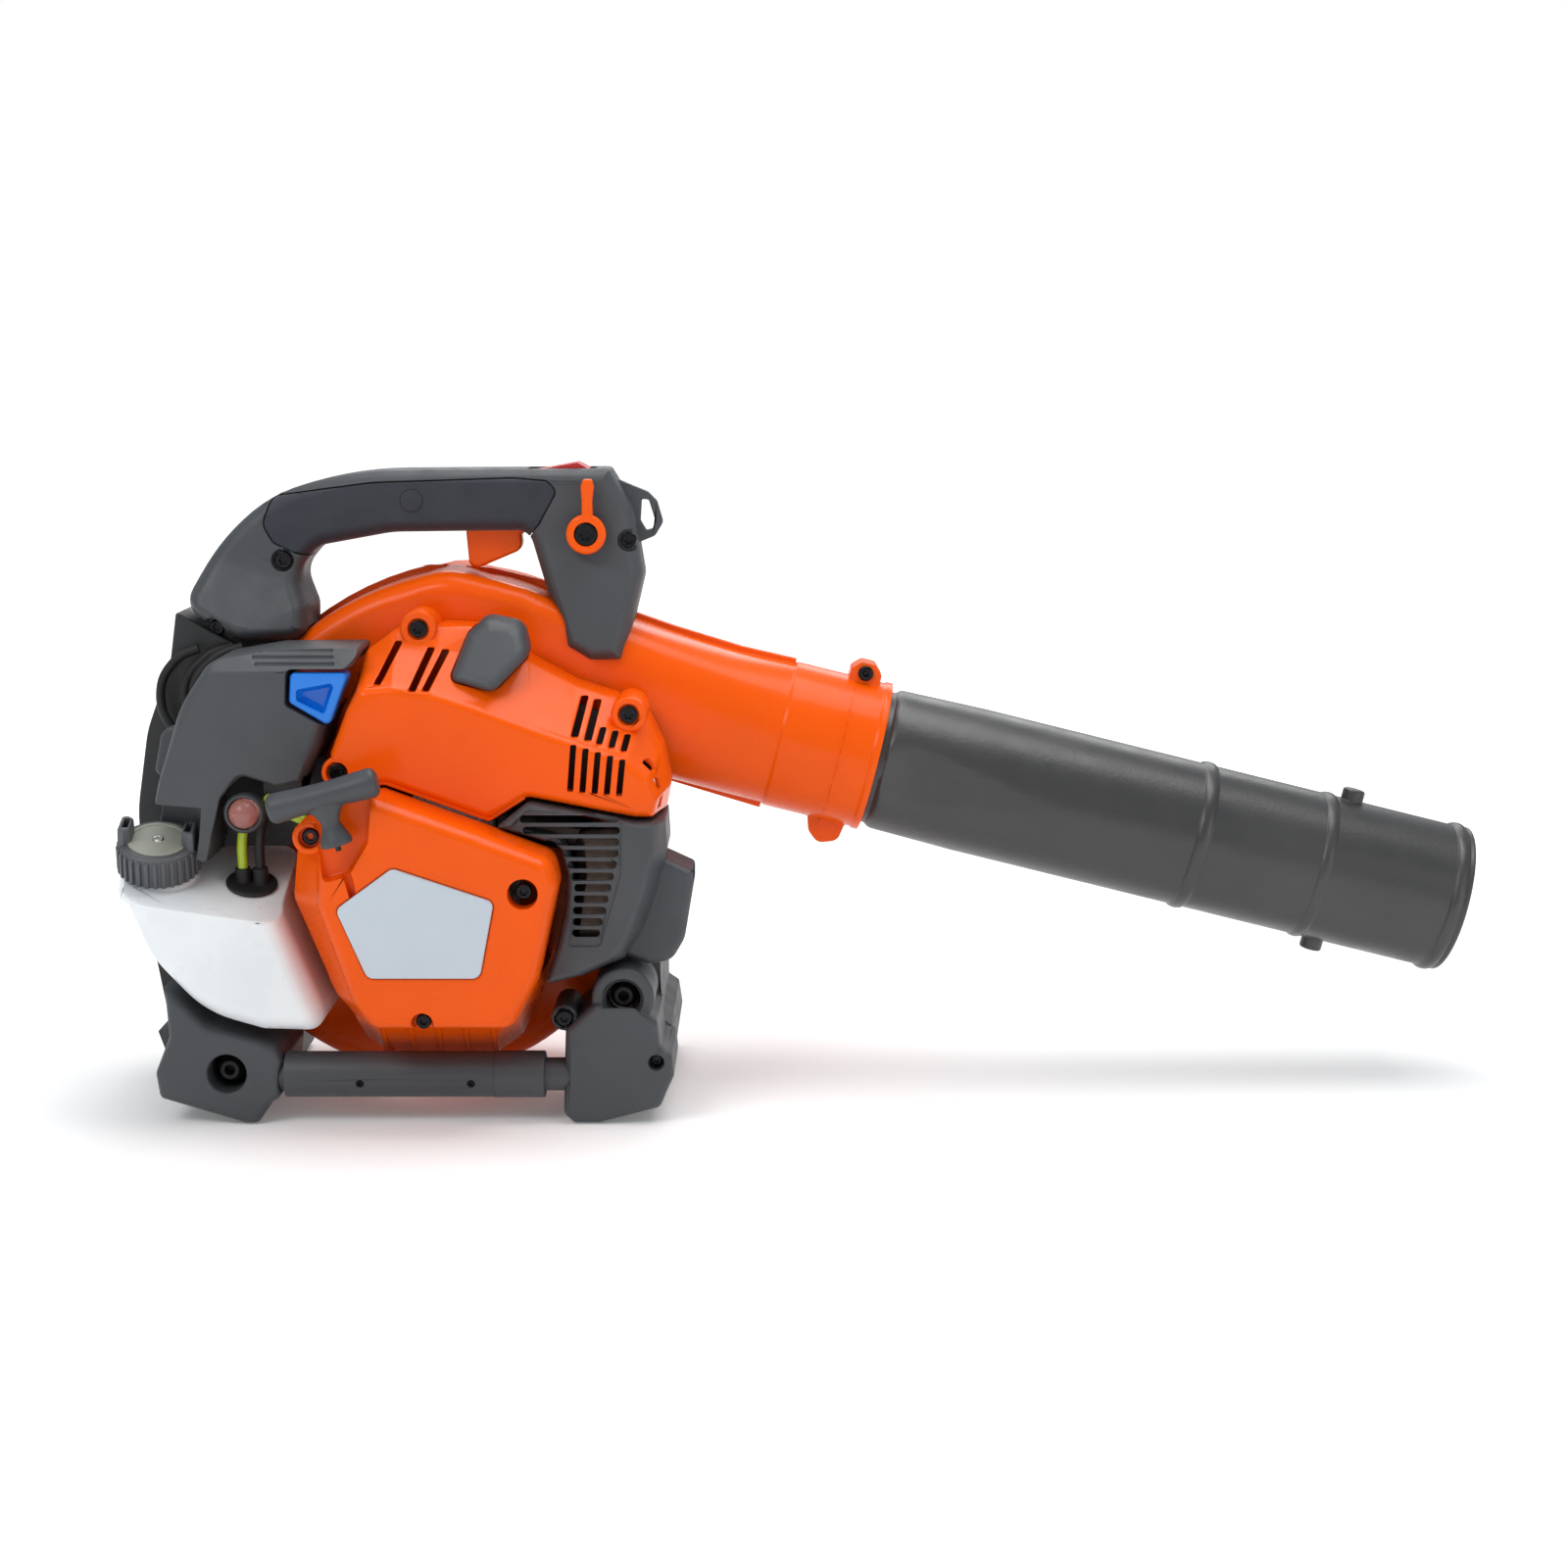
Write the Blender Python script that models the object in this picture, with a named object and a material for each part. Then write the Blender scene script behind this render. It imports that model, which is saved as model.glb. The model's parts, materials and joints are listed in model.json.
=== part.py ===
"""Hand-held petrol leaf blower, as separate pieces.

Lengths are drawn in millimetres in the frame of the crankshaft: X runs towards the nozzle, -Y towards the
starter and Z up, with the crankshaft axis at X = 0, Z = CRANK_Z. FRAME_SHIFT then moves the whole object to
the frame of the finished part (metres, feet on Z = 0, bounding box centred on X and Y).
"""

import math

import bmesh
import bpy
from mathutils import Matrix, Vector

# ---------------------------------------------------------------- driving dimensions (mm, degrees)
FRAME_SHIFT = Vector((-200.24, 39.3, -22.0))
WALL = 2.5  # moulded plastic shells
GAP = 0.4  # clearance between neighbouring pieces
CRANK_Z = 143.0
SPLIT_Y = 12.0  # parting plane of the fan housing, and centre plane of the tube
SCROLL_START_DEG = 42.0  # tongue of the volute, measured from +X towards +Z
SCROLL_SWEEP_DEG = 307.8
SCROLL_HALF_DEPTH = 50.0
IMPELLER_R = 88.0
TUBE_PITCH_DEG = 13.98
TUBE_START = (76.0, 246.0)  # a point of the tube axis (X, Z)
TUBE_END_S = 513.0  # distance from TUBE_START to the nozzle end
SLEEVE_END_S = 169.0
SLEEVE_R = 41.2
TUBE_R = 41.75
NECK_R = 38.3
CYLINDER_TILT_DEG = 12.0
BORE_R = 17.5
STROKE = 28.0
CRANK_Y = -80.0
HANDLE_Y = -5.0
HANDLE_HALF_WIDTH = 23.0
CAP_R = 22.5
PULLEY_R = 27.5

MATERIALS = {
    "orange_plastic": ((1.0, 0.10, 0.012), 0.0, 0.25),
    "grey_plastic": ((0.045, 0.047, 0.048), 0.0, 0.5),
    "soft_grip": ((0.022, 0.026, 0.032), 0.0, 0.6),
    "black_tube": ((0.02, 0.02, 0.022), 0.0, 0.35),
    "black_steel": ((0.01, 0.01, 0.011), 0.8, 0.3),
    "steel": ((0.6, 0.6, 0.58), 1.0, 0.3),
    "aluminium": ((0.72, 0.73, 0.74), 1.0, 0.4),
    "rubber": ((0.015, 0.015, 0.015), 0.0, 0.75),
    "tank_plastic": ((0.82, 0.84, 0.84), 0.0, 0.35),
    "cap_plastic": ((0.10, 0.095, 0.09), 0.0, 0.5),
    "blue_plastic": ((0.01, 0.14, 0.75), 0.0, 0.3),
    "red_plastic": ((0.7, 0.01, 0.02), 0.0, 0.3),
    "badge_silver": ((0.62, 0.64, 0.65), 0.2, 0.35),
    "clear_pink": ((0.8, 0.25, 0.22), 0.0, 0.1),
    "fuel_green": ((0.55, 0.75, 0.02), 0.0, 0.25),
    "paper": ((0.75, 0.68, 0.5), 0.0, 0.9),
}


# ---------------------------------------------------------------- scene helpers
def clear_scene():
    for obj in list(bpy.data.objects):
        bpy.data.objects.remove(obj, do_unlink=True)


def new_collection(name, hidden=False):
    collection = bpy.data.collections.new(name)
    collection.hide_render = hidden
    bpy.context.scene.collection.children.link(collection)
    return collection


clear_scene()
PIECES = new_collection("leaf_blower")
CUTTERS = new_collection("cutters", hidden=True)


def make_material(name):
    colour, metallic, roughness = MATERIALS[name]
    material = bpy.data.materials.new(name)
    material.use_nodes = True
    shader = material.node_tree.nodes["Principled BSDF"]
    shader.inputs["Base Color"].default_value = (*colour, 1.0)
    shader.inputs["Metallic"].default_value = metallic
    shader.inputs["Roughness"].default_value = roughness
    material.diffuse_color = (*colour, 1.0)
    return material


def to_mesh(bm, name, pivot):
    """Mesh in metres, with the pivot (mm) at its origin."""
    bmesh.ops.recalc_face_normals(bm, faces=bm.faces)
    bmesh.ops.triangulate(bm, faces=bm.faces)
    bmesh.ops.translate(bm, verts=bm.verts, vec=-Vector(pivot))
    bmesh.ops.scale(bm, verts=bm.verts, vec=(0.001, 0.001, 0.001))
    mesh = bpy.data.meshes.new(name)
    bm.to_mesh(mesh)
    bm.free()
    return mesh


def piece(name, bm, material, pivot=(0.0, 0.0, 0.0)):
    """One named piece whose origin is the pivot, which for a moving piece lies on its joint axis."""
    obj = bpy.data.objects.new(name, to_mesh(bm, name, pivot))
    obj.location = (Vector(pivot) + FRAME_SHIFT) * 0.001
    obj.data.materials.append(make_material(material))
    obj["pivot"] = [float(c) for c in pivot]
    PIECES.objects.link(obj)
    return obj


def boolean(target, bm, operation):
    """Adds a live Boolean whose operand is drawn in the same frame as the target."""
    label = f"{target.name}_{operation.lower()}_{len(target.modifiers)}"
    tool = bpy.data.objects.new(label, to_mesh(bm, label, target["pivot"]))
    tool.parent = target
    tool.hide_render = True
    tool.display_type = "WIRE"
    CUTTERS.objects.link(tool)
    modifier = target.modifiers.new(label, "BOOLEAN")
    modifier.operation = operation
    modifier.solver = "EXACT"
    modifier.object = tool
    tool["pivot"] = target["pivot"]
    return tool


def cut(target, *volumes):
    for bm in volumes:
        boolean(target, bm, "DIFFERENCE")


def join(target, *volumes):
    for bm in volumes:
        boolean(target, bm, "UNION")


def keep(target, bm):
    boolean(target, bm, "INTERSECT")


# ---------------------------------------------------------------- outlines in the XZ plane
def outline(corners, steps=3):
    """Closed outline from corners (x, z) or (x, z, radius): a radius turns the corner into an arc."""
    points = []
    count = len(corners)
    for i, corner in enumerate(corners):
        here = Vector(corner[:2])
        if len(corner) == 2:
            points.append(here)
            continue
        before = (Vector(corners[i - 1][:2]) - here).normalized()
        after = (Vector(corners[(i + 1) % count][:2]) - here).normalized()
        half = 0.5 * before.angle(after)
        reach = corner[2] / math.tan(half)
        centre = here + (before + after).normalized() * corner[2] / math.sin(half)
        first = here + before * reach - centre
        turn = first.angle_signed(here + after * reach - centre)
        for k in range(steps + 1):
            angle = -turn * k / steps
            c, s = math.cos(angle), math.sin(angle)
            points.append(centre + Vector((first.x * c - first.y * s, first.x * s + first.y * c)))
    return [(p.x, p.y) for p in points]


def area(corners):
    total = 0.0
    for i, corner in enumerate(corners):
        before = corners[i - 1]
        total += before[0] * corner[1] - corner[0] * before[1]
    return 0.5 * total


def inset(corners, distance):
    """The corners moved inwards by distance (outwards when negative); their radii follow."""
    if distance == 0.0:
        return list(corners)
    side = math.copysign(1.0, area(corners))
    moved = []
    for i, corner in enumerate(corners):
        here = Vector(corner[:2])
        into = (here - Vector(corners[i - 1][:2])).normalized()
        out = (Vector(corners[(i + 1) % len(corners)][:2]) - here).normalized()
        normal = Vector((-into.y - out.y, into.x + out.x)).normalized() * side
        cosine = max(0.35, normal.dot(Vector((-into.y, into.x)) * side))
        place = here + normal * distance / cosine
        bulging = (into.x * out.y - into.y * out.x) * side > 0.0
        radius = [max(0.4, r - distance if bulging else r + distance) for r in corner[2:]]
        moved.append((place.x, place.y, *radius))
    return moved


def circle(x, z, radius, steps=16, start=0.0):
    turn = math.tau / steps
    return [
        (
            x + radius * math.cos(start + turn * k), z + radius * math.sin(start + turn * k)
        ) for k in range(steps)
    ]


def box_corners(x0, x1, z0, z1, radius=0.0):
    corners = [(x0, z0), (x1, z0), (x1, z1), (x0, z1)]
    return [(*c, radius) for c in corners] if radius else corners


# ---------------------------------------------------------------- solids
def loft(rings):
    """Closed solid through rings of equal length, capped at both ends."""
    bm = bmesh.new()
    rows = [[bm.verts.new(p) for p in ring] for ring in rings]
    count = len(rows[0])
    for a, b in zip(rows, rows[1:]):
        for i in range(count):
            j = (i + 1) % count
            bm.faces.new((a[i], a[j], b[j], b[i]))
    bm.faces.new(list(reversed(rows[0])))
    bm.faces.new(rows[-1])
    return bm


def stack(corners, levels, steps=3):
    """Outline stacked along Y: levels are (y, inset)."""
    return loft([[(x, y, z) for x, z in outline(inset(corners, d), steps)] for y, d in levels])


def prism(corners, y0, y1, steps=3):
    return stack(corners, [(y0, 0.0), (y1, 0.0)], steps)


def block(x0, x1, y0, y1, z0, z1, radius=0.0):
    return prism(box_corners(x0, x1, z0, z1, radius), y0, y1)


def frame_of(direction):
    """Rotation that takes +Z to the direction."""
    return Vector((0, 0, 1)).rotation_difference(Vector(direction).normalized()).to_matrix()


def turned(profile, base, direction, steps=16):
    """Solid of revolution: profile is (radius, height) along direction. A zero radius makes a tip."""
    turn = frame_of(direction)
    base = Vector(base)
    bm = bmesh.new()
    rows = []
    for radius, height in profile:
        if radius == 0.0:
            rows.append([bm.verts.new(base + turn @ Vector((0, 0, height)))])
            continue
        rows.append(
            [bm.verts.new(base + turn @ Vector((x, y, height))) for x, y in circle(0, 0, radius, steps)]
        )
    for a, b in zip(rows, rows[1:]):
        for i in range(steps):
            j = (i + 1) % steps
            if len(a) == 1:
                bm.faces.new((a[0], b[j], b[i]))
            elif len(b) == 1:
                bm.faces.new((a[i], a[j], b[0]))
            else:
                bm.faces.new((a[i], a[j], b[j], b[i]))
    if len(rows[0]) > 1:
        bm.faces.new(list(reversed(rows[0])))
    if len(rows[-1]) > 1:
        bm.faces.new(rows[-1])
    return bm


def ring_solid(profile, base, direction, steps=16):
    """Closed ring: the profile (radius, height) is a closed loop turned about the axis."""
    turn = frame_of(direction)
    base = Vector(base)
    bm = bmesh.new()
    rows = []
    for radius, height in profile:
        rows.append(
            [bm.verts.new(base + turn @ Vector((x, y, height))) for x, y in circle(0, 0, radius, steps)]
        )
    for a, b in zip(rows, rows[1:] + rows[:1]):
        for i in range(steps):
            j = (i + 1) % steps
            bm.faces.new((a[i], a[j], b[j], b[i]))
    return bm


def cylinder(base, direction, radius, height, steps=16):
    return turned([(radius, 0.0), (radius, height)], base, direction, steps)


def rod(start, end, radius, steps=12):
    start, end = Vector(start), Vector(end)
    return cylinder(start, end - start, radius, (end - start).length, steps)


def pipe(path, radius, steps=8):
    """Round solid along a path of points, with a ring square to the path at each point."""
    path = [Vector(p) for p in path]
    side = Vector((0.0, 1.0, 0.0))
    rings = []
    for i, here in enumerate(path):
        along = (path[min(i + 1, len(path) - 1)] - path[max(i - 1, 0)]).normalized()
        side = (side - along * side.dot(along)).normalized()
        across = along.cross(side)
        rings.append([here + side * u + across * v for u, v in circle(0, 0, radius, steps)])
    return loft(rings)


def curve(points, per_span=4):
    """Smooth path through the points (Catmull-Rom)."""
    points = [Vector(p) for p in points]
    ends = [2 * points[0] - points[1], *points, 2 * points[-1] - points[-2]]
    path = []
    for a, b, c, d in zip(ends, ends[1:], ends[2:], ends[3:]):
        for k in range(per_span):
            t = k / per_span
            path.append(
                0.5 * (
                    2 * b + (c - a) * t + (2 * a - 5 * b + 4 * c - d) * t**2 + (3 * b - a - 3 * c + d) * t**3
                )
            )
    return [*path, points[-1]]


def merged(*volumes):
    """One operand made of several volumes that do not touch each other."""
    whole = bmesh.new()
    for bm in volumes:
        bmesh.ops.recalc_face_normals(bm, faces=bm.faces)
        mesh = bpy.data.meshes.new("scratch")
        bm.to_mesh(mesh)
        bm.free()
        whole.from_mesh(mesh)
        bpy.data.meshes.remove(mesh)
    return whole


def tilted(bm, degrees=CYLINDER_TILT_DEG):
    """Turns a volume about the crankshaft axis, from upright towards the nozzle."""
    centre = Vector((0.0, 0.0, CRANK_Z))
    bmesh.ops.rotate(bm, verts=bm.verts, cent=centre, matrix=Matrix.Rotation(math.radians(degrees), 3, "Y"))
    return bm


# ---------------------------------------------------------------- fan housing, blower tube
def tube_point(s):
    """Point of the tube axis at distance s from TUBE_START."""
    pitch = math.radians(TUBE_PITCH_DEG)
    return Vector((TUBE_START[0] + s * math.cos(pitch), SPLIT_Y, TUBE_START[1] - s * math.sin(pitch)))


TUBE_DIR = (tube_point(1.0) - tube_point(0.0)).normalized()
TUBE_UP = Vector((-TUBE_DIR.z, 0.0, TUBE_DIR.x))


def scroll_radius(t):
    """Radius of the volute, for t from 0 at the tongue to 1 at the duct."""
    return 98.0 + 9.9 * t + 62.1 * t * t


def scroll_curve(grow=0.0, steps=22):
    points = []
    for k in range(steps + 1):
        t = k / steps
        angle = math.radians(SCROLL_START_DEG - SCROLL_SWEEP_DEG * t)
        radius = scroll_radius(t) + grow
        points.append((radius * math.cos(angle), CRANK_Z + radius * math.sin(angle)))
    return points


def scroll_outline(grow=0.0):
    return [
        *scroll_curve(grow), (22, 311 + grow), (50, 304 + grow), (88 + grow, 285 + grow), (93 + grow, 225)
    ]


def superellipse_ring(s, half_width, up, down, power, grow, steps=20):
    centre = tube_point(s)
    ring = []
    for k in range(steps):
        angle = math.tau * k / steps
        c, z = math.cos(angle), math.sin(angle)
        y = math.copysign(abs(c) ** (2.0 / power), c) * (half_width + grow)
        height = math.copysign(abs(z) ** (2.0 / power), z) * ((up if z > 0 else down) + grow)
        ring.append(centre + Vector((0.0, y, 0.0)) + TUBE_UP * height)
    return ring


def duct(grow=0.0, stretch=0.0):
    """Duct from the volute to the sleeve: boxy at the volute, round at the sleeve."""
    sections = [
        (-45.0, 49.5, 48.0, 33.0, 5.0),
        (0.0, 49.0, 46.5, 36.0, 4.4),
        (40.0, 47.0, 42.8, 37.6, 3.4),
        (80.0, 44.0, 40.6, 39.8, 2.5),
        (112.0, 41.8, 41.2, 41.4, 2.0),
        (SLEEVE_END_S + stretch, SLEEVE_R, SLEEVE_R, SLEEVE_R, 2.0),
    ]
    return loft([superellipse_ring(*section, grow) for section in sections])


def scroll(grow=0.0):
    d = SCROLL_HALF_DEPTH + grow
    levels = [(-d, 11.0), (4.0 - d, 3.5), (13.0 - d, 0.0), (d - 13.0, 0.0), (d - 4.0, 3.5), (d, 11.0)]
    return stack(scroll_outline(grow), [(SPLIT_Y + y, step) for y, step in levels])


def housing_rim():
    """Flange where the two halves meet, standing 3 mm proud of the volute and the duct."""
    top = [tube_point(s) + TUBE_UP * (h + 3.0) for s, h in ((0, 46.5), (40, 42.8), (80, 40.6), (112, 41.2))]
    under = [
        tube_point(s) - TUBE_UP * (h + 3.0) for s, h in ((112, 41.4), (80, 39.8), (40, 37.6), (16, 36.8))
    ]
    points = [*scroll_curve(3.0), (22, 314), (50, 307.3)]
    points += [(p.x, p.z) for p in (*top, *under)]
    return prism(points, SPLIT_Y - 3.0, SPLIT_Y + 3.0)


def housing_half(name, side):
    """side -1 is the half towards the starter, +1 the half with the air intake."""
    half = piece(name, scroll(), "orange_plastic")
    join(half, duct(), housing_rim())
    cut(half, scroll(-WALL), duct(-WALL, stretch=-22.0))
    bore = tube_point(SLEEVE_END_S - 70.0)
    cut(half, cylinder(bore, TUBE_DIR, NECK_R + GAP, 90.0, 32))
    near, far = sorted((SPLIT_Y + side * 0.15, SPLIT_Y + side * 90.0))
    keep(half, block(-220, 300, near, far, 0, 340))
    return half


def build_fan_housing():
    front = housing_half("fan_housing_front", -1)
    shaft_hole = cylinder((0, -42, CRANK_Z), (0, 1, 0), 30.0, 12.0, 24)
    cut(front, shaft_hole)
    rear = housing_half("fan_housing_rear", 1)
    cut(rear, cylinder((0, 55, CRANK_Z), (0, 1, 0), 64.0, 12.0, 32))


def build_clamp_screw():
    """Screw that closes the split sleeve round the tube, on its boss above the sleeve."""
    spot = tube_point(152.0) + TUBE_UP * 45.5
    boss = outline([(-9, -6), (9, -6), (9, 2, 3), (4, 7, 3), (-4, 7, 3), (-9, 2, 3)], 2)
    for name, y0, y1 in (("fan_housing_front", -9.0, -0.15), ("fan_housing_rear", 0.15, 9.0)):
        rings = [
            [spot + TUBE_DIR * x + TUBE_UP * z + Vector((0, y, 0)) for x, z in boss]
            for y in (y0, y1)
        ]
        lug = loft(rings)
        half = bpy.data.objects[name]
        join(half, lug)
        cut(half, cylinder(tube_point(120.0), TUBE_DIR, NECK_R + GAP, 70.0, 32))
        cut(half, cylinder(spot + Vector((0, -12, 1)), (0, 1, 0), 2.6, 24.0, 10))
    head = [(2.2, 0.0), (2.2, 22.0), (4.4, 22.0), (4.4, 25.5), (3.6, 26.2)]
    start = spot + Vector((0, 12.6, 1))
    screw = piece("tube_clamp_screw", turned(head, start, (0, -1, 0), 12), "black_steel")
    socket = turned([(1.6, 0.0), (1.6, 4.0)], start + Vector((0, -24.0, 0)), (0, -1, 0), 6)
    cut(screw, socket)


def blower_tube_rings(profile, steps=20):
    """Round tube whose first stretch is flattened on its sides: profile is (s, half height, half width)."""
    return [
        [
            tube_point(s) + Vector((0, w * math.cos(a), 0)) + TUBE_UP * (h * math.sin(a))
            for a in (math.tau * k / steps for k in range(steps))
        ]
        for s, h, w in profile
    ]


def build_tube():
    r, neck = TUBE_R, NECK_R
    pivot = tube_point(SLEEVE_END_S)
    end = TUBE_END_S
    outside = [
        (SLEEVE_END_S - 42, neck - 0.6, neck - 0.6),
        (SLEEVE_END_S - 40, neck, neck),
        (SLEEVE_END_S + 3, neck, neck),
        (SLEEVE_END_S + 5, 39.6, 39.0),
        (SLEEVE_END_S + 38, r, 40.6),
        (SLEEVE_END_S + 80, r, r),
        (353.5, r, r),
        (355.5, r + 1.6, r + 1.6),
        (359.5, r + 1.6, r + 1.6),
        (361.5, r, r),
        (425.0, r, r),
        (427.0, r + 1.2, r + 1.2),
        (430.5, r + 1.2, r + 1.2),
        (432.5, r, r),
        (end - 12, r, r),
        (end - 10, r + 1.8, r + 1.8),
        (end - 4, r + 1.8, r + 1.8),
        (end - 2, r + 0.6, r + 0.6),
        (end, r + 0.6, r + 0.6),
    ]
    tube = piece("blower_tube", loft(blower_tube_rings(outside)), "black_tube", pivot)
    pins = rod(tube_point(442) - TUBE_UP * (r + 6.5), tube_point(442) + TUBE_UP * (r + 6.5), 6.3, 14)
    join(tube, pins)
    inside = [
        (SLEEVE_END_S - 46, neck - 2.2, neck - 2.2),
        (SLEEVE_END_S, neck - 2.2, neck - 2.2),
        (SLEEVE_END_S + 40, r - 2.2, r - 2.6),
        (end + 4, r - 2.2, r - 2.2),
    ]
    cut(tube, loft(blower_tube_rings(inside)))


def build_impeller():
    """Backward-curved radial fan on a back plate."""
    pivot = (0, 0, CRANK_Z)
    plate = turned(
        [(IMPELLER_R, -27.5), (IMPELLER_R, -25.0), (26.0, -22.0), (17.0, 8.0)], pivot, (0, 1, 0), 32
    )
    impeller = piece("impeller", plate, "aluminium", pivot)
    blades = []
    for k in range(11):
        start = math.tau * k / 11
        inner, middle, outer = 40.0, 62.0, IMPELLER_R - 0.8
        line = [(inner, start), (middle, start + 0.26), (outer, start + 0.62)]
        edge = [(radius * math.cos(a), radius * math.sin(a)) for radius, a in line]
        back = [
            (radius * math.cos(a + 1.7 / radius), radius * math.sin(a + 1.7 / radius)) for radius, a in line
        ]
        points = [(x, z + CRANK_Z) for x, z in (*edge, *reversed(back))]
        blades.append(loft([[(x, y, z) for x, z in points] for y in (-26.4, 24.0)]))
    join(impeller, merged(*blades))
    cut(impeller, cylinder((0, -30, CRANK_Z), (0, 1, 0), 5.3, 45, 12))


def build_intake_grille():
    """Domed guard over the air inlet, with a ring of slots."""
    profile = [(74.0, 62.4), (74.0, 65.0), (66.0, 73.0), (40.0, 76.5), (12.0, 77.0)]
    grille = piece("intake_grille", turned(profile, (0, 0, CRANK_Z), (0, 1, 0), 20), "grey_plastic")
    hollow = [(63.0, 60.0), (63.0, 66.0), (60.0, 71.0), (38.0, 74.0), (10.0, 74.5)]
    cut(grille, turned(hollow, (0, 0, CRANK_Z), (0, 1, 0), 20))
    slots = []
    for row in range(-2, 3):
        z = CRANK_Z + row * 20.0
        half = math.sqrt(54.0**2 - (row * 20.0) ** 2)
        slots.append(block(-half, half, 66, 80, z - 6.0, z + 6.0))
    cut(grille, merged(*slots))


# ---------------------------------------------------------------- engine, upright about the crankshaft
def up(height, y=CRANK_Y, x=0.0):
    """Point on the cylinder axis at this height over the crankshaft, before tilting."""
    return Vector((x, y, CRANK_Z + height))


def build_crankcase():
    body = [(-34, CRANK_Z - 34, 20), (34, CRANK_Z - 34, 20), (30, CRANK_Z + 36), (-30, CRANK_Z + 36)]
    case = piece("crankcase", tilted(stack(body, [(-103, 2), (-101, 0), (-60, 0), (-58, 2)])), "aluminium")
    cut(case, cylinder((0, -97.5, CRANK_Z), (0, 1, 0), 29.0, 34.0, 24))
    cut(case, tilted(cylinder(up(0), (0, 0, 1), BORE_R + 0.7, 40.0, 24)))
    cut(case, cylinder((0, -110, CRANK_Z), (0, 1, 0), 6.4, 60.0, 16))


def build_cylinder():
    rings = []
    core = outline(box_corners(-23, 23, -21.5, 21.5, 8), 1)
    fin = outline(box_corners(-31, 31, -25, 25, 8), 1)
    heights = [(36.4, core), (62.0, core)]
    for k in range(6):
        h = 62.5 + 6.5 * k
        heights += [(h, core), (h, fin), (h + 2.4, fin), (h + 2.4, core)]
    heights += [(100.5, core)]
    for height, points in heights:
        rings.append([(x, CRANK_Y + y, CRANK_Z + height) for x, y in points])
    body = piece("cylinder", tilted(loft(rings)), "aluminium")
    cut(body, tilted(cylinder(up(30), (0, 0, 1), BORE_R, 62.0, 24)))
    cut(body, tilted(cylinder(up(60), (0, 0, 1), 4.6, 60.0, 12)))
    ports = [rod(up(48, x=-40), up(48, x=-10), 8.0), rod(up(48, x=10), up(48, x=40), 7.6)]
    cut(body, tilted(merged(*ports)))


def build_piston_group():
    """Piston, rod and crank pin, drawn at top dead centre; the slide then takes them down by the stroke."""
    pivot = tilted_point(up(14))
    crown = [(BORE_R - 0.3, 57.0), (BORE_R - 0.3, 80.0), (BORE_R - 2.0, 81.5)]
    piston = piece("piston", tilted(turned(crown, up(0), (0, 0, 1), 24)), "aluminium", pivot)
    cut(piston, tilted(cylinder(up(50), (0, 0, 1), BORE_R - 3.0, 26.0, 16)))
    small, big = up(66), up(14)
    link = piece(
        "connecting_rod", tilted(cylinder(small + Vector((0, -4, 0)), (0, 1, 0), 7.0, 8.0, 16)), "steel",
        pivot
    )
    beam = tilted(block(-3.5, 3.5, CRANK_Y - 2.5, CRANK_Y + 2.5, CRANK_Z + 14, CRANK_Z + 66))
    eye = tilted(cylinder(big + Vector((0, -4, 0)), (0, 1, 0), 9.0, 8.0, 16))
    join(link, beam, eye)
    cut(link, tilted(cylinder(big + Vector((0, -6, 0)), (0, 1, 0), 5.3, 12.0, 12)))
    pin = turned([(5.0, 0.0), (5.0, 8.4)], big + Vector((0, -4.2, 0)), (0, 1, 0), 12)
    piece("crank_pin", tilted(pin), "steel", pivot)


def tilted_point(point):
    centre = Vector((0.0, 0.0, CRANK_Z))
    return centre + Matrix.Rotation(math.radians(CYLINDER_TILT_DEG), 3, "Y") @ (point - centre)


def crank_web(y0, y1):
    """Counterweighted cheek, heavy side down."""
    half = [(9, 22, 8), (12, 2), (24, -4, 6), (19, -19, 12)]
    corners = [*half, *((-x, *rest) for x, *rest in reversed(half))]
    return tilted(prism([(x, CRANK_Z + z, *r) for x, z, *r in corners], y0, y1, 2))


def build_crankshaft():
    """Two half shafts; the crank pin between their cheeks rides with the rod."""
    pivot = (0, 0, CRANK_Z)
    near = piece("crankshaft_starter_half", crank_web(-90.0, CRANK_Y - 4.6), "steel", pivot)
    join(near, cylinder((0, -121.5, CRANK_Z), (0, 1, 0), 6.0, 34.0, 12))
    far = piece("crankshaft_fan_half", crank_web(CRANK_Y + 4.6, -70.0), "steel", pivot)
    join(far, turned([(6.0, -72.0), (6.0, -40.5), (5.0, -40.0), (5.0, 20.0)], (0, 0, CRANK_Z), (0, 1, 0), 12))


def build_flywheel():
    pivot = (0, 0, CRANK_Z)
    rim = [(42.0, -56.5), (42.0, -43.0), (37.0, -43.0), (12.0, -50.0), (12.0, -41.0)]
    wheel = piece("flywheel", turned(rim, pivot, (0, 1, 0), 20), "aluminium", pivot)
    cut(wheel, cylinder((0, -60, CRANK_Z), (0, 1, 0), 6.3, 25.0, 12))
    cut(wheel, ring_solid([(20, -57), (36, -57), (36, -51), (20, -53)], pivot, (0, 1, 0), 16))


def build_ignition():
    coil = piece(
        "ignition_coil", tilted(block(-14, 14, -54.5, -44, CRANK_Z + 44, CRANK_Z + 66, 4)), "black_steel"
    )
    cut(coil, tilted(block(-10, 10, -60, -40, CRANK_Z + 30, CRANK_Z + 54)))
    profile = [
        (4.3, 91.0), (4.3, 101.0), (9.0, 101.0), (9.0, 107.0), (5.6, 107.5), (5.6, 121.0), (3.0, 122.0),
        (3.0, 127.0)
    ]
    piece("spark_plug", tilted(turned(profile, up(0), (0, 0, 1), 12)), "steel")


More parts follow.
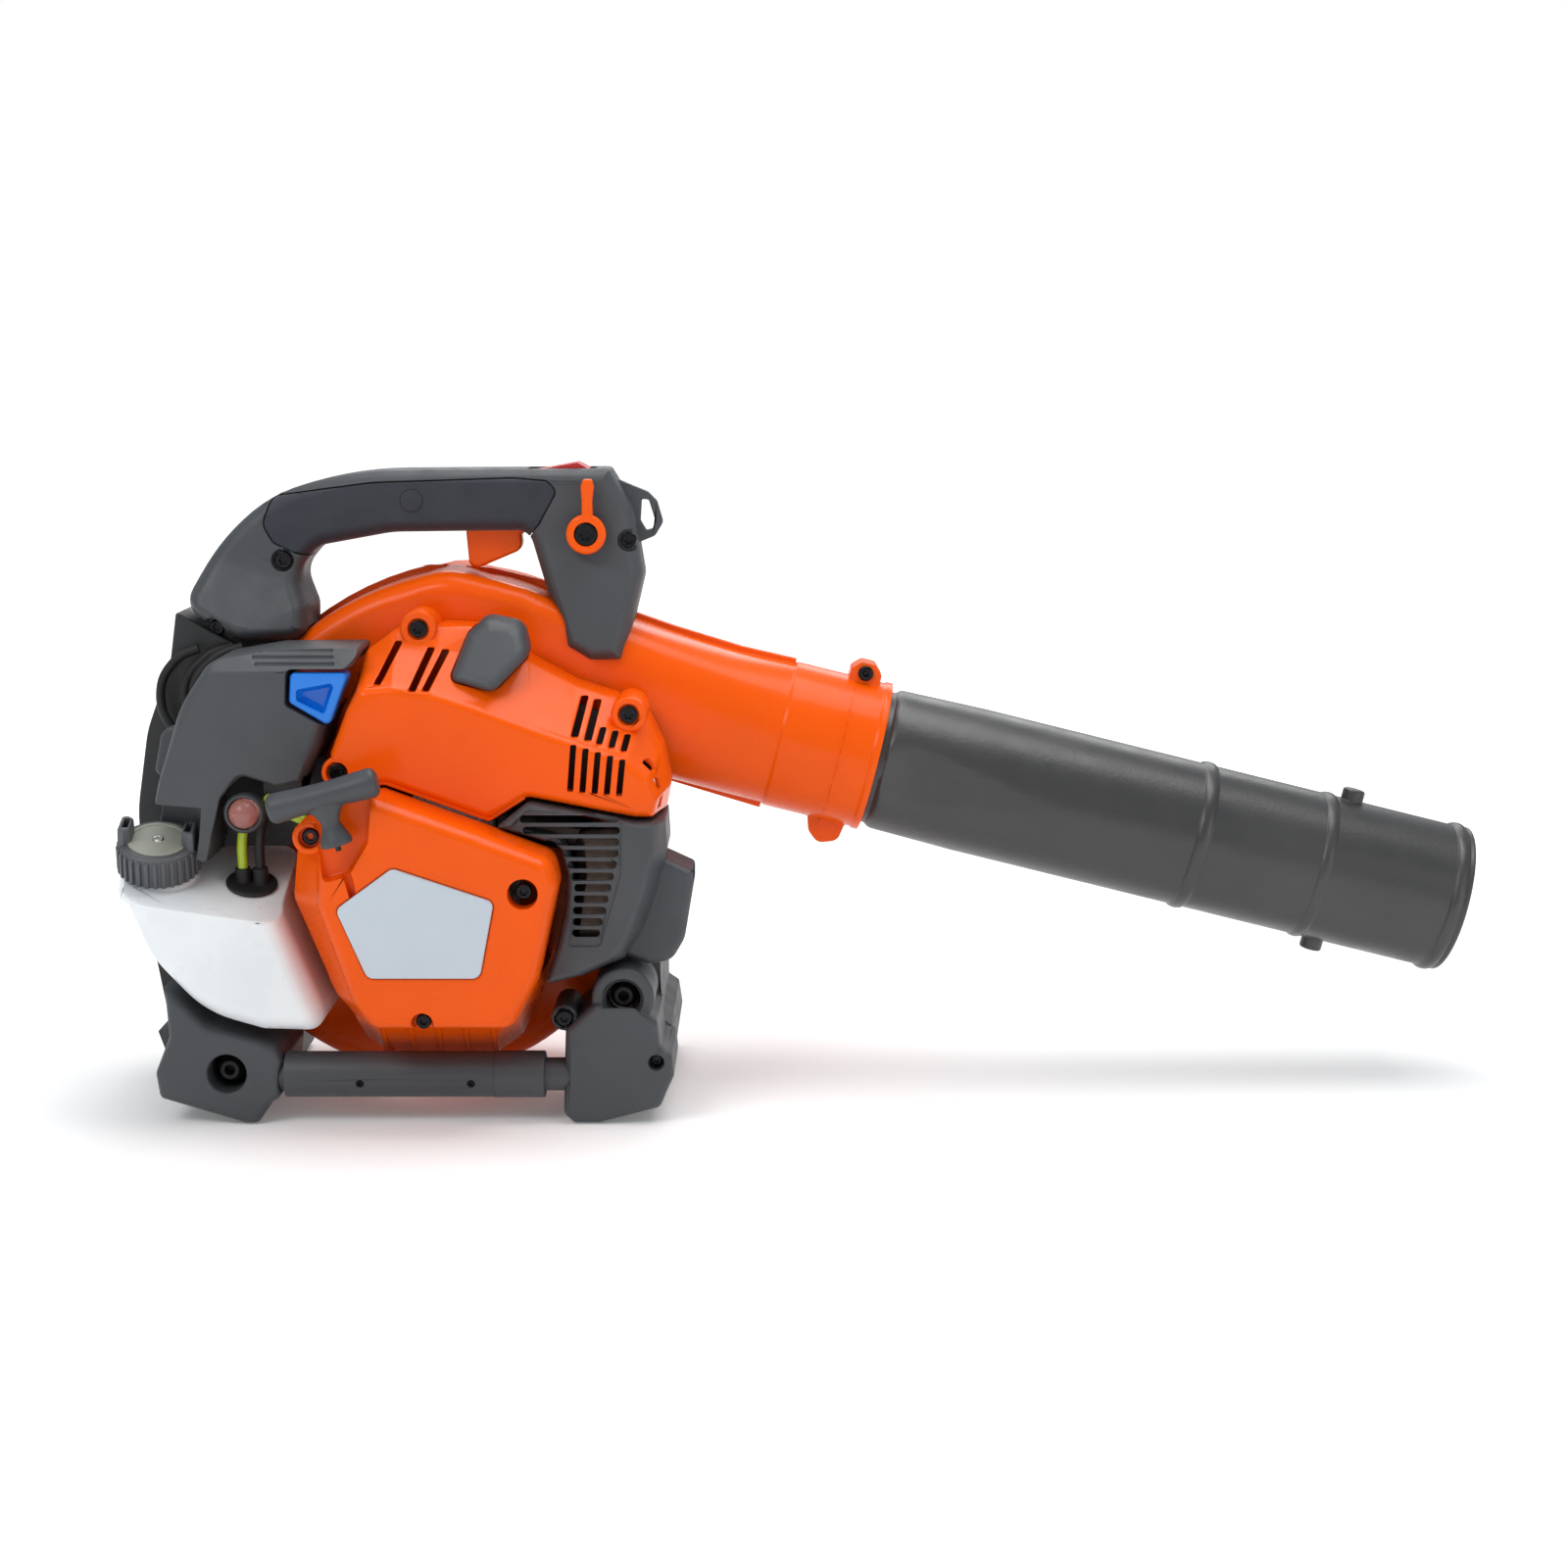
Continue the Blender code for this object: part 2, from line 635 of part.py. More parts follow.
def build_muffler():
    body = [(71, 117, 8), (97, 117, 8), (109, 135, 6), (113, 166, 6), (108, 182, 6), (75, 182, 8), (77, 158)]
    muffler = piece("muffler", stack(body, [(-101, 5), (-97, 0), (-55, 0), (-51, 5)], 2), "steel")
    flange = tilted(rod(up(48, x=23.6), up(48, x=80), 10.0, 12))
    join(muffler, flange)
    cut(muffler, stack(inset(body, 2.0), [(-98, 4), (-95, 0), (-57, 0), (-54, 4)], 2))
    cut(muffler, tilted(rod(up(48, x=20), up(48, x=84), 7.6, 12)))
    cut(muffler, rod((105, -76, 140), (120, -76, 140), 8.0, 12))


def build_muffler_outlet():
    """Hooded deflector that takes the exhaust out towards the nozzle side."""
    points = [
        (116, 110, 4), (127, 112, 6), (133, 122, 10), (139, 150, 8), (140, 162, 2), (127, 165),
        (120.8, 146), (113.8, 126)
    ]
    levels = [(-104, 3), (-101, 0), (-60, 0), (-56, 5)]
    hood = piece("muffler_outlet", stack(points, levels, 1), "grey_plastic")
    cut(hood, prism([(110, 118), (122, 120), (150, 130), (150, 156), (124, 160), (110, 160)], -90, -62))


# ---------------------------------------------------------------- covers on the starter side
def cover_rings(points, levels):
    """Rings of the engine cover: points are (back x, back z, front x, front z), levels (y, share, inset)."""
    rings = []
    for y, share, step in levels:
        flat = [(bx + (fx - bx) * share, bz + (fz - bz) * share) for bx, bz, fx, fz in points]
        rings.append([(x, y, z) for x, z in inset(flat, step)])
    return rings


COVER_POINTS = [
    (-56, 223, -54, 224),
    (-48, 250, -45, 247),
    (-39, 275, -38, 260),
    (-24, 286, -20, 261),
    (2, 289, 2, 258),
    (26, 288, 28, 249),
    (50, 270, 52, 240),
    (74, 257, 75, 232),
    (95, 250, 90, 227),
    (112, 243, 105, 222),
    (122, 222, 116, 212),
    (126, 202, 121, 200),
    (124, 189, 118, 189.5),
    (108, 189, 108, 189.5),
    (51, 200, 51, 200.5),
    (31, 187.6, 31, 187.6),
    (-24, 207.6, -24, 207.6),
    (-50, 205.5, -50, 205.5),
    (-54, 214, -53, 214),
]


def build_engine_cover():
    levels = [
        (-39.6, 0.0, 0.0), (-66.0, 0.0, 0.0), (-80.0, 0.38, 0.0), (-104.0, 1.0, 0.0), (-109.0, 1.0, 4.0)
    ]
    cover = piece("engine_cover", loft(cover_rings(COVER_POINTS, levels)), "orange_plastic")
    for x, z, radius in ((-12, 286, 11.0), (103, 243, 10.5), (-53, 214, 9.0)):
        join(
            cover,
            turned([(radius, -46), (radius, -58), (radius - 2.5, -64)][::-1], (x, 0, z), (0, 1, 0), 16)
        )
    hollow = [
        (-36.0, 0.0, WALL), (-65.0, 0.0, WALL), (-78.5, 0.38, WALL), (-101.5, 1.0, WALL), (-106.5, 1.0, 6.5)
    ]
    cut(cover, loft(cover_rings(COVER_POINTS, hollow)))
    for x, z in ((-12, 288), (103, 245), (-54, 213)):
        cut(
            cover, cylinder((x, -70, z), (0, 1, 0), 6.0, 12.0, 12),
            cylinder((x, -59, z), (0, 1, 0), 2.4, 25.0, 8)
        )
    slots = []
    for top, foot in (((-20, 281), (-29, 260)), ((-2, 278), (-10, 257)), ((6, 277), (-3, 257))):
        slots.append(slanted_slot(top, foot, 4.0))
    for top, foot in (((80, 251), (76, 232)), ((87, 249), (83, 230))):
        slots.append(slanted_slot(top, foot, 4.0))
    for top, foot in (((91, 236), (89, 228)), ((97.5, 234), (95.5, 226)), ((104, 232), (102, 224))):
        slots.append(slanted_slot(top, foot, 3.4))
    cut(cover, merged(*slots))
    cut(cover, prism([(-34, 175), (48, 175), (48, 203), (30, 213), (-34, 213)], -106.5, -30))
    low = []
    for k in range(5):
        low.append(slanted_slot((76 + 6.5 * k, 223.5 - 2.0 * k), (74 + 6.5 * k, 203 - 0.6 * k), 3.2))
    cut(cover, merged(*low))
    cut(cover, rod(*INTAKE_PATH, 13.2, 14))
    cut(cover, prism(inset(POD_OUTLINE, -GAP), -120, -50, 2))
    side = [block(112, 135, -98, -88, z0, z1) for z0, z1 in ((193, 199), (203, 209), (213, 219))]
    cut(cover, merged(*side))


def slanted_slot(top, foot, width):
    h = 0.5 * width
    points = [(foot[0] - h, foot[1]), (foot[0] + h, foot[1]), (top[0] + h, top[1]), (top[0] - h, top[1])]
    return prism(points, -115, -60)


POD_OUTLINE = [(9, 262, 3), (33, 256, 6), (51, 274, 8), (47, 291, 8), (27, 295, 7), (17, 285, 6)]


def build_spark_plug_cover():
    """Cover of the plug connector, following the slope of the engine cover."""
    rings = []
    for height, step in ((-30.0, 0.0), (2.0, 0.0), (6.5, 2.0), (9.0, 6.0)):
        corners = outline(inset(POD_OUTLINE, step), 2)
        rings.append([(x, -70.0 - 34.0 * (289.0 - z) / 40.0 - height, z) for x, z in corners])
    pod = piece("spark_plug_cover", loft(rings), "grey_plastic")
    cut(pod, tilted(cylinder(up(100), (0, 0, 1), 9.6, 29.0, 14)), block(5, 55, -60, -30, 250, 300))


STARTER_OUTLINE = [
    (-48, 203, 5), (-25, 206, 4), (30, 186, 4), (66, 172, 9), (69, 158, 8), (58, 108, 10),
    (45, 80, 9), (-38, 79, 8), (-52, 94, 10), (-74, 148, 8), (-71, 178, 8),
]
BADGE_OUTLINE = [(-17, 169, 5), (36, 151, 4), (28, 110, 5), (-31, 110, 5), (-47, 147, 4)]


def build_starter_housing():
    levels = [(-106.0, 0.0), (-124.0, 0.0), (-136.0, 2.5), (-143.0, 8.0)]
    housing = piece("starter_housing", stack(STARTER_OUTLINE, levels), "orange_plastic")
    lug = turned([(8.5, -112), (8.5, -134), (7.5, -136)][::-1], (-61, 0, 184), (0, 1, 0), 14)
    join(housing, lug)
    cut(housing, stack(STARTER_OUTLINE, [(-100, 2.5), (-123, 2.5), (-134.6, 5.0), (-140.5, 10.5)]))
    cut(housing, prism([(-90, 140), (-48, 158), (-28, 176), (-28, 230), (-90, 230)], -160, -141.2))
    pocket = [(-64, 150, 4), (-33, 158, 4), (-28, 184, 4), (-38, 240), (-66, 240)]
    cut(housing, stack(pocket, [(-150, 0.0), (-132.5, 3.0)], 2))
    cut(housing, cylinder((-44, -140, 178), (0.26, 0, -0.966), 3.6, 30, 10))
    for x, z, radius in ((51, 155, 8.0), (-3, 85, 6.0), (-61, 184, 5.4)):
        cut(housing, turned([(radius, -160), (radius, -131)], (x, 0, z), (0, 1, 0), 14))
        cut(housing, cylinder((x, -135, z), (0, 1, 0), 2.4, 30, 8))
    cut(housing, stack(BADGE_OUTLINE, [(-150, -0.5), (-142.0, -0.5)]))


def build_starter_badge():
    piece(
        "starter_badge", stack(BADGE_OUTLINE, [(-142.3, 0.0), (-144.0, 0.0), (-144.6, 0.8)]), "badge_silver"
    )


SHROUD_BACK = [
    (-69, 176), (-71, 148), (-56, 96), (-44, 63), (-21, 47), (21, 47), (44, 63), (55, 88), (58, 104)
]
SHROUD_FRONT = [
    (-69, 176), (-71, 148), (-56, 98), (-45, 83), (-36, 79), (38, 79), (44, 81), (50, 90), (57, 104)
]


def build_engine_shroud():
    """Open trough under the crankcase, with cooling ribs on its sloping belly."""
    rings = []
    for y, line in ((-39.6, SHROUD_BACK), (-74.0, SHROUD_BACK), (-105.4, SHROUD_FRONT)):
        inner = [(x * 0.955, CRANK_Z + (z - CRANK_Z) * 0.965) for x, z in reversed(line)]
        rings.append([(x, y, z) for x, z in (*line, *inner)])
    shroud = piece("engine_shroud", loft(rings), "orange_plastic")
    ribs = []
    for x in (-30, -15, 0, 15, 30):
        belly = [(-70.0, 50.0), (-74.0, 44.5), (-101.0, 74.0), (-101.0, 80.0)]
        ribs.append(loft([[(side, y, z) for y, z in belly] for side in (x - 1.3, x + 1.3)]))
    join(shroud, merged(*ribs))


GUARD_POINTS = [
    (34, 184.6, 34, 184.6), (51.5, 198.4, 51.5, 198.4), (58, 197.2, 58, 197.2), (108, 187.6, 108, 187.6),
    (124, 187.6, 119, 187.6), (125, 170, 119, 171), (119, 147, 113, 148), (112, 127, 106, 128),
    (101, 110, 97, 113), (80, 101, 78, 104), (58, 96, 59, 99), (66, 120, 66, 120),
    (71, 143, 71, 143), (72, 160, 72, 160), (68, 175, 68, 175),
]


def build_muffler_guard():
    levels = [(-46.0, 0.0, 0.0), (-94.0, 0.0, 0.0), (-109.0, 1.0, 0.0), (-112.5, 1.0, 3.0)]
    guard = piece("muffler_guard", loft(cover_rings(GUARD_POINTS, levels)), "grey_plastic")
    hollow = [(-40.0, 0.0, WALL), (-94.0, 0.0, WALL), (-107.5, 1.0, WALL), (-110.0, 1.0, 5.5)]
    cut(guard, loft(cover_rings(GUARD_POINTS, hollow)))
    left = [(193, 52), (183, 46), (176, 64), (165, 73), (152, 76), (140, 74), (124, 74)]
    right = [(193, 99), (183, 101), (176, 100), (165, 98.5), (152, 95), (140, 92), (124, 87)]
    slots = []
    for k in range(11):
        z = 190.0 - 6.2 * k
        x0, x1 = along(left, z) + 1.0, along(right, z) - 1.0
        slots.append(block(x0, x1, -120, -104, z - 1.7, z + 1.7))
    cut(guard, merged(*slots))
    cut(guard, block(105, 140, -91, -61, 120, 158))
    cut(guard, tilted(rod(up(48, x=20), up(48, x=75), 11.5, 12)))


def along(line, z):
    """X on a polyline of (z, x) points, highest first."""
    for (z0, x0), (z1, x1) in zip(line, line[1:]):
        if z >= z1:
            return x0 + (x1 - x0) * (z0 - z) / (z0 - z1)
    return line[-1][1]


# ---------------------------------------------------------------- air filter, carburettor, primer
FILTER_COVER = [
    (-38.5, 281, 2), (-52, 281, 6), (-86, 280, 10), (-118, 274, 10), (-134, 249, 10), (-147, 208, 6),
    (-153, 180, 3), (-138, 170, 3), (-122, 163, 3), (-112, 199, 4), (-102, 211, 4), (-83, 205, 5),
    (-68.5, 208, 2), (-60, 226, 2), (-57, 237, 2),
]
CHOKE_WINDOW = [(-75.5, 269, 2), (-20, 269), (-34, 238.4), (-55, 238.4), (-76.5, 250.5, 2)]


def build_air_filter_cover():
    """Hood over the filter and the carburettor, cut away round the primer, with a window for the choke."""
    levels = [(-47.0, 0.0), (-92.0, 0.0), (-104.0, 1.5), (-109.0, 6.0)]
    cover = piece("air_filter_cover", stack(FILTER_COVER, levels, 2), "grey_plastic")
    cut(cover, stack(FILTER_COVER, [(-40.0, 2.4), (-92.0, 2.4), (-103.0, 4.0), (-106.5, 8.4)], 2))
    cut(cover, stack(CHOKE_WINDOW, [(-120, -GAP), (-60, -GAP)], 2))
    grooves = [block(x0, x1, -98, -70, 279.3, 290) for x0, x1 in ((-84, -81), (-76, -73), (-68, -65))]
    cut(cover, merged(*grooves))
    primer_bay = [(-119, 195), (-119, 158), (-60, 158), (-60, 211), (-99, 213.5), (-112, 203)]
    cut(cover, prism(primer_bay, -104, -58))
    cut(cover, cylinder(CAP_BASE - CAP_DIR * 4.0, CAP_DIR, CAP_R + 1.5, 43.0, 20))
    cut(cover, below_tank_top())
    cut(cover, rod(*INTAKE_PATH, 13.2, 14))


def build_air_filter():
    """Filter element on its base plate, behind the cover and beside the carburettor."""
    base = [(-63, 268, 4), (-114, 266, 8), (-130, 240, 8), (-137, 217, 4), (-104, 218, 4), (-67, 218, 3)]
    plate = piece("air_filter_base", prism(base, -52.0, -48.4, 2), "black_steel")
    cut(plate, cylinder((-82, -60, 236), (0, 1, 0), 8.0, 20.0, 14))
    pad = [(-96, 262, 3), (-112, 260, 6), (-126, 240, 6), (-132, 220, 3), (-104, 220, 3), (-96, 222, 3)]
    piece("air_filter_element", prism(pad, -90.0, -52.6, 2), "paper")


def build_choke_lever():
    """Blue lever in the window of the filter cover; it swings out about its top edge."""
    pivot = (-50, -104, 265)
    body = [(-74, 267.6, 3), (-43, 267.6, 3), (-53, 240.6, 3), (-56, 240, 2), (-75, 251.5, 3)]
    lever = piece(
        "choke_lever", stack(body, [(-90.0, 0.0), (-106.0, 0.0), (-107.5, 1.2)], 2), "blue_plastic", pivot
    )
    dish = [(-69, 263.5, 3), (-48, 263.5, 3), (-55, 246, 3), (-69, 254, 3)]
    cut(lever, stack(dish, [(-112.0, 0.0), (-99.0, 0.0), (-94.0, 3.0)], 2))
    cut(lever, block(-80, -30, -96, -80, 230, 258))


INTAKE_PATH = tilted_point(up(48, x=-26.0)), Vector((-67.0, CRANK_Y, 208.0))


def build_carburettor():
    body = [(-92, 197, 3), (-71, 197, 3), (-71, 232, 3), (-92, 232, 3)]
    carb = piece("carburettor", prism(body, -95.4, -62.0, 2), "aluminium")
    start, end = INTAKE_PATH
    along_path = (end - start).normalized()
    cut(carb, rod(end - along_path * 8, end + along_path * 40, 7.0, 12))
    cut(carb, cylinder((-82, -104, 222), (0, 1, 0), 3.0, 20.0, 10))
    intake = piece("intake_manifold", rod(start, end, 12.0, 14), "rubber")
    cut(intake, rod(start - along_path * 4, end + along_path * 4, 8.0, 12))


def build_throttle_valve():
    """Throttle spindle with the arm that the trigger cable pulls."""
    pivot = (-82, -98, 222)
    spindle = piece("throttle_valve", cylinder((-82, -99.4, 222), (0, 1, 0), 2.6, 14.0, 10), "steel", pivot)
    arm = [(-85.5, 219, 2), (-78.5, 219, 2), (-78.5, 225, 2), (-80, 235, 2), (-84, 235, 2), (-85.5, 225, 2)]
    join(spindle, prism(arm, -98.0, -96.2, 2))


def build_primer():
    centre = Vector((-101, -96, 191.5))
    ring = [(11.0, 0.0), (11.0, 8.0), (9.8, 9.5), (8.6, 9.5), (8.6, 2.5), (4.0, 2.5), (4.0, 0.0)]
    piece("primer_base", ring_solid(ring, centre, (0, -1, 0), 18), "grey_plastic")
    dome = [(8.0, 7.0), (7.6, 11.5), (6.2, 14.2), (3.6, 16.0), (0.0, 16.6)]
    piece("primer_bulb", turned(dome, centre, (0, -1, 0), 16), "clear_pink", centre)


# ---------------------------------------------------------------- fuel tank and lines
TANK = [
    (-167, 195), (-167, 152, 6), (-161, 138), (-151, 114, 14), (-123, 84, 16), (-92, 75, 12), (-60, 74, 8),
    (-60, 88, 4), (-82, 142, 8), (-82, 195),
]
CAP_DIR = Vector((0.07, -0.37, 0.925)).normalized()
CAP_BASE = Vector((-150.3, -90, 160.5))
TOP_DIR = Vector((0.13, -0.33, 0.93)).normalized()
GROMMET = Vector((-101, -88, 148.9))


def above_tank(height):
    """Everything over the tank's sloping top, at a height from the seat of the grommet."""
    turn = frame_of(TOP_DIR)
    base = GROMMET + TOP_DIR * height
    side = ((-120, -120), (120, -120), (120, 120), (-120, 120))
    return loft([[base + turn @ Vector((x, y, h)) for x, y in side] for h in (0.0, 90.0)])


def below_tank_top():
    """Slab over the tank's top that keeps the filter cover clear of it."""
    return block(-142, -100, -66, -40, 150, 175)


def build_fuel_tank():
    levels = [(-122.5, 9.0), (-118.0, 2.5), (-110.0, 0.0), (-54.0, 0.0), (-47.0, 3.0), (-44.0, 8.0)]
    tank = piece("fuel_tank", stack(TANK, levels, 2), "tank_plastic")
    cut(tank, above_tank(0.5))
    neck = [(19.5, -15.0), (19.5, -2.2), (17.6, -2.2), (17.6, 11.0)]
    join(tank, turned(neck, CAP_BASE, CAP_DIR, 20))
    inner = [(-120.2, 11.5), (-116.0, 5.0), (-108.0, 2.5), (-55.0, 2.5), (-48.0, 6.0), (-46.4, 10.0)]
    hollow = boolean(tank, stack(TANK, inner, 2), "DIFFERENCE")
    boolean(hollow, above_tank(-2.1), "DIFFERENCE")
    cut(tank, cylinder(CAP_BASE - CAP_DIR * 18.0, CAP_DIR, 14.4, 42.0, 20))
    cut(tank, cylinder(GROMMET - TOP_DIR * 20, TOP_DIR, 9.4, 30.0, 16))


def build_fuel_cap():
    gasket = [(17.2, 11.4), (17.2, 13.4), (10.0, 13.4), (10.0, 11.4)]
    piece("cap_gasket", ring_solid(gasket, CAP_BASE, CAP_DIR, 18), "rubber", CAP_BASE)
    skirt = [(18.2, -1.0), (CAP_R, -1.0), (CAP_R, 14.0), (21.6, 15.0), (19.0, 16.4), (8.0, 16.4)]
    skirt += [(8.0, 13.8), (18.2, 13.8)]
    cap = piece("fuel_cap", ring_solid(skirt, CAP_BASE, CAP_DIR, 20), "cap_plastic", CAP_BASE)
    join(cap, turned([(9.0, 14.2), (9.0, 16.0)], CAP_BASE, CAP_DIR, 12))
    turn = frame_of(CAP_DIR)
    for side in (-1, 1):
        tab = [(side * 12.5, -6.5), (side * 20.8, -7.5), (side * 20.8, 7.5), (side * 12.5, 6.5)]
        join(cap, loft([[CAP_BASE + turn @ Vector((x, y, h)) for x, y in tab] for h in (14.5, 26.0)]))
        slot = [(side * 14.8, -4.0), (side * 17.6, -4.0), (side * 17.6, 4.0), (side * 14.8, 4.0)]
        cut(cap, loft([[CAP_BASE + turn @ Vector((x, y, h)) for x, y in slot] for h in (18.0, 30.0)]))


def build_fuel_lines():
    shape = [(9.0, -4.0), (9.0, 0.9), (14.0, 0.9), (13.4, 3.0)]
    plug = piece("fuel_grommet", turned(shape, GROMMET, TOP_DIR, 16), "rubber")
    lines = (
        ("fuel_line_feed", -105.5, (-97.5, -84, 198), "fuel_green"),
        ("fuel_line_return", -96.0, (-86, -80, 194.6), "rubber")
    )
    for name, x, top, colour in lines:
        path = [(x, -87, 148), (x, -88, 160), (x, -89, 172), (x + 2, -89, 184), top]
        piece(name, pipe(curve(path, 3), 2.7, 8), colour)
        cut(plug, pipe([(x, -85, 130), (x, -87, 148), (x, -88, 160)], 3.1, 10))


# ---------------------------------------------------------------- starter mechanism
PULL_DIR = Vector((-0.26, 0.0, 0.966)).normalized()
PULL_BASE = Vector((-44.5, -147.0, 182.0))


def build_starter():
    pivot = (0, 0, CRANK_Z)
    groove = [(PULLEY_R, -138.0), (PULLEY_R, -136.0), (21.0, -135.0), (21.0, -130.0), (PULLEY_R, -129.0)]
    groove += [(PULLEY_R, -127.0), (7.0, -127.0), (7.0, -138.0)]
    piece("starter_pulley", ring_solid(groove, pivot, (0, 1, 0), 24), "black_steel", pivot)
    rope = [(21.4, -134.6), (26.0, -134.6), (26.0, -130.4), (21.4, -130.4)]
    piece("starter_rope", ring_solid(rope, pivot, (0, 1, 0), 20), "rubber", pivot)
    spring = [(16.0, -126.6), (22.0, -126.6), (22.0, -123.4), (16.0, -123.4)]
    piece("starter_spring", ring_solid(spring, pivot, (0, 1, 0), 20), "steel", pivot)


def build_starter_handle():
    """T-handle lying in its recess at the front of the housing; the bar stands square to the pull."""
    bar = Vector((0.966, 0.0, 0.26)).normalized()
    middle = PULL_BASE + PULL_DIR * 27.0
    rings = []
    for along_bar, height, depth in (
        (-29.5, 5.6, 5.6), (-27.5, 8.0, 8.0), (0, 7.0, 8.6), (27.5, 8.0, 8.0), (29.5, 5.6, 5.6)
    ):
        centre = middle + bar * along_bar
        rings.append([
            centre + PULL_DIR * (height * math.sin(a)) + Vector((0, depth * math.cos(a), 0))
            for a in (math.tau * k / 12 for k in range(12))
        ])
    handle = piece("starter_handle", loft(rings), "grey_plastic", PULL_BASE)
    stem = turned([(7.6, 0.0), (6.6, 6.0), (4.4, 12.0), (5.0, 22.0), (5.0, 27.0)], PULL_BASE, PULL_DIR, 14)
    join(handle, stem)
    cut(handle, cylinder(PULL_BASE - PULL_DIR * 4, PULL_DIR, 1.8, 20, 8))


# ---------------------------------------------------------------- handle and controls
HANDLE = [
    (-147, 295, 5), (-128, 329, 40), (-98, 357, 45), (-50, 370.5, 80), (91, 371.5, 3),
    (104, 350, 4), (110, 312, 14), (99, 265, 3), (80, 264, 5), (66, 272, 6), (46, 337, 8),
    (-30, 336, 60), (-71, 328.5, 8), (-79.5, 315, 12), (-72.5, 296, 8), (-72.5, 282, 5),
    (-82, 276.5, 6), (-112, 276, 20), (-130, 285, 10),
]
GRIP = [
    (-96, 355), (-102, 341, 5), (-98, 333), (-82, 312), (-70, 318), (-60, 325), (-30, 330), (43, 330),
    (52, 341, 3), (62, 359, 3), (57, 364.5, 3), (38, 366), (-40, 363.5), (-70, 359.5),
]
TRIGGER_POCKET = [(7, 325), (7, 359, 3), (24, 359, 3), (52, 352, 3), (53, 337), (46, 325)]


def handle_volume(levels):
    """Handle stacked along Y. Its legs widen towards the starter side, over the fan housing."""
    rings = []
    for y, step in levels:
        ring = []
        for x, z in outline(inset(HANDLE, step), 2):
            down = min(1.0, max(0.0, (325.0 - z) / 45.0))
            flare = 1.0 + (0.65 * down * down * (3.0 - 2.0 * down) if y < HANDLE_Y else 0.0)
            ring.append((x, HANDLE_Y + (y - HANDLE_Y) * flare, z))
        rings.append(ring)
    return loft(rings)


def side_levels(side, shrink=0.0):
    """Rounded half of the handle on one side of its parting plane."""
    w = HANDLE_HALF_WIDTH
    start = 0.15 if shrink == 0.0 else -6.0
    steps = ((start, 0.0), (w - 9.0, 0.0), (w - 4.0, 1.6), (w - 1.2, 4.4), (w, 8.0))
    return [(HANDLE_Y + side * (d - (shrink if d > w - 6.0 else 0.0)), s + shrink) for d, s in steps]


def build_handle():
    near = piece("handle_shell_near", handle_volume(side_levels(-1)), "grey_plastic")
    far = piece("handle_shell_far", handle_volume(side_levels(1)), "grey_plastic")
    bed = boolean(near, prism(inset(GRIP, -0.5), -60, 0), "DIFFERENCE")
    boolean(bed, handle_volume(side_levels(-1, 3.6)), "DIFFERENCE")
    loop = [
        (86, 360), (92, 366.5), (101, 362.5, 2), (112, 358, 3), (117, 353, 3), (120.5, 341, 4),
        (116, 333.5, 4), (98, 326)
    ]
    join(near, prism(loop, -12.0, HANDLE_Y - 0.15, 2))
    slot = [
        (108.5, 354, 1), (112.5, 353.5, 1), (116, 342, 1), (114.5, 337.5, 1), (111, 336.5, 1), (107.8, 342, 1)
    ]
    cut(near, prism(slot, -20, 10, 1))
    for shell in (near, far):
        cut(shell, prism_rim(), scroll(0.7), duct(0.6))
        cut(shell, prism(TRIGGER_POCKET, -13.0, 3.0, 2))
        cut(shell, block(45, 83, -18, 8, 359, 390))
    cut(near, cylinder((79, -45, 336), (0, 1, 0), 4.4, 32.0, 14))
    for x, z in ((-90, 321), (102, 332), (-130, 292)):
        cut(near, cylinder((x, -50, z), (0, 1, 0), 5.6, 27.0, 12))


def prism_rim():
    """Clearance for the flange of the fan housing."""
    points = [
        *scroll_curve(4.0)[8:], (22, 315), (50, 308.3), (90, 298.5), (108, 291.5), (108, 260), (0, 200),
        (-60, 200)
    ]
    return prism(points, SPLIT_Y - 4.0, SPLIT_Y + 4.0)


def build_grip():
    grip = piece("grip_insert", handle_volume(side_levels(-1)), "soft_grip")
    keep(grip, prism(GRIP, -60, HANDLE_Y - 0.3))
    cut(grip, handle_volume(side_levels(-1, 2.4)))
    cut(grip, prism(TRIGGER_POCKET, -13.0, 3.0, 2))


def build_controls():
    pivot = (44, HANDLE_Y, 343)
    blade = [
        (10, 335), (11.5, 317, 3), (16, 315, 2), (42, 326, 4), (41, 334), (50, 341), (49, 348, 3),
        (12, 348, 3)
    ]
    trigger = piece("throttle_trigger", prism(blade, -11.0, 1.0, 2), "orange_plastic", pivot)
    join(trigger, cylinder((44, -12.4, 343), (0, 1, 0), 3.4, 14.8, 12))
    pivot = (79, -35, 336)
    knob = turned([(9.8, -39.2), (11.0, -37.8), (11.0, -34.4)], (79, 0, 336), (0, 1, 0), 18)
    lever = piece("cruise_lever", knob, "orange_plastic", pivot)
    arm = [(76.5, 343), (77, 355), (76, 366, 2), (83.5, 366, 2), (83, 343)]
    join(lever, prism(arm, -38.2, -34.4, 2), cylinder((79, -35, 336), (0, 1, 0), 4.0, 18.0, 14))
    cut(lever, cylinder((79, -42, 336), (0, 1, 0), 5.8, 5.6, 14))
    pivot = (63, HANDLE_Y, 366)
    wedge = [(48.5, 370, 1), (73, 374.5, 1), (79.5, 371, 1), (79.5, 366, 1), (63, 362.5, 3), (48.5, 366, 1)]
    piece("stop_switch", prism(wedge, -15.5, 5.5, 1), "red_plastic", pivot)


def build_throttle_cable():
    path = [
        (-136, -38.6, 273), (-147, -39.5, 268), (-156, -40, 256), (-157, -40, 240), (-150, -41, 226),
        (-144, -41, 214)
    ]
    piece("throttle_cable", pipe(curve(path, 3), 2.6, 8), "rubber")


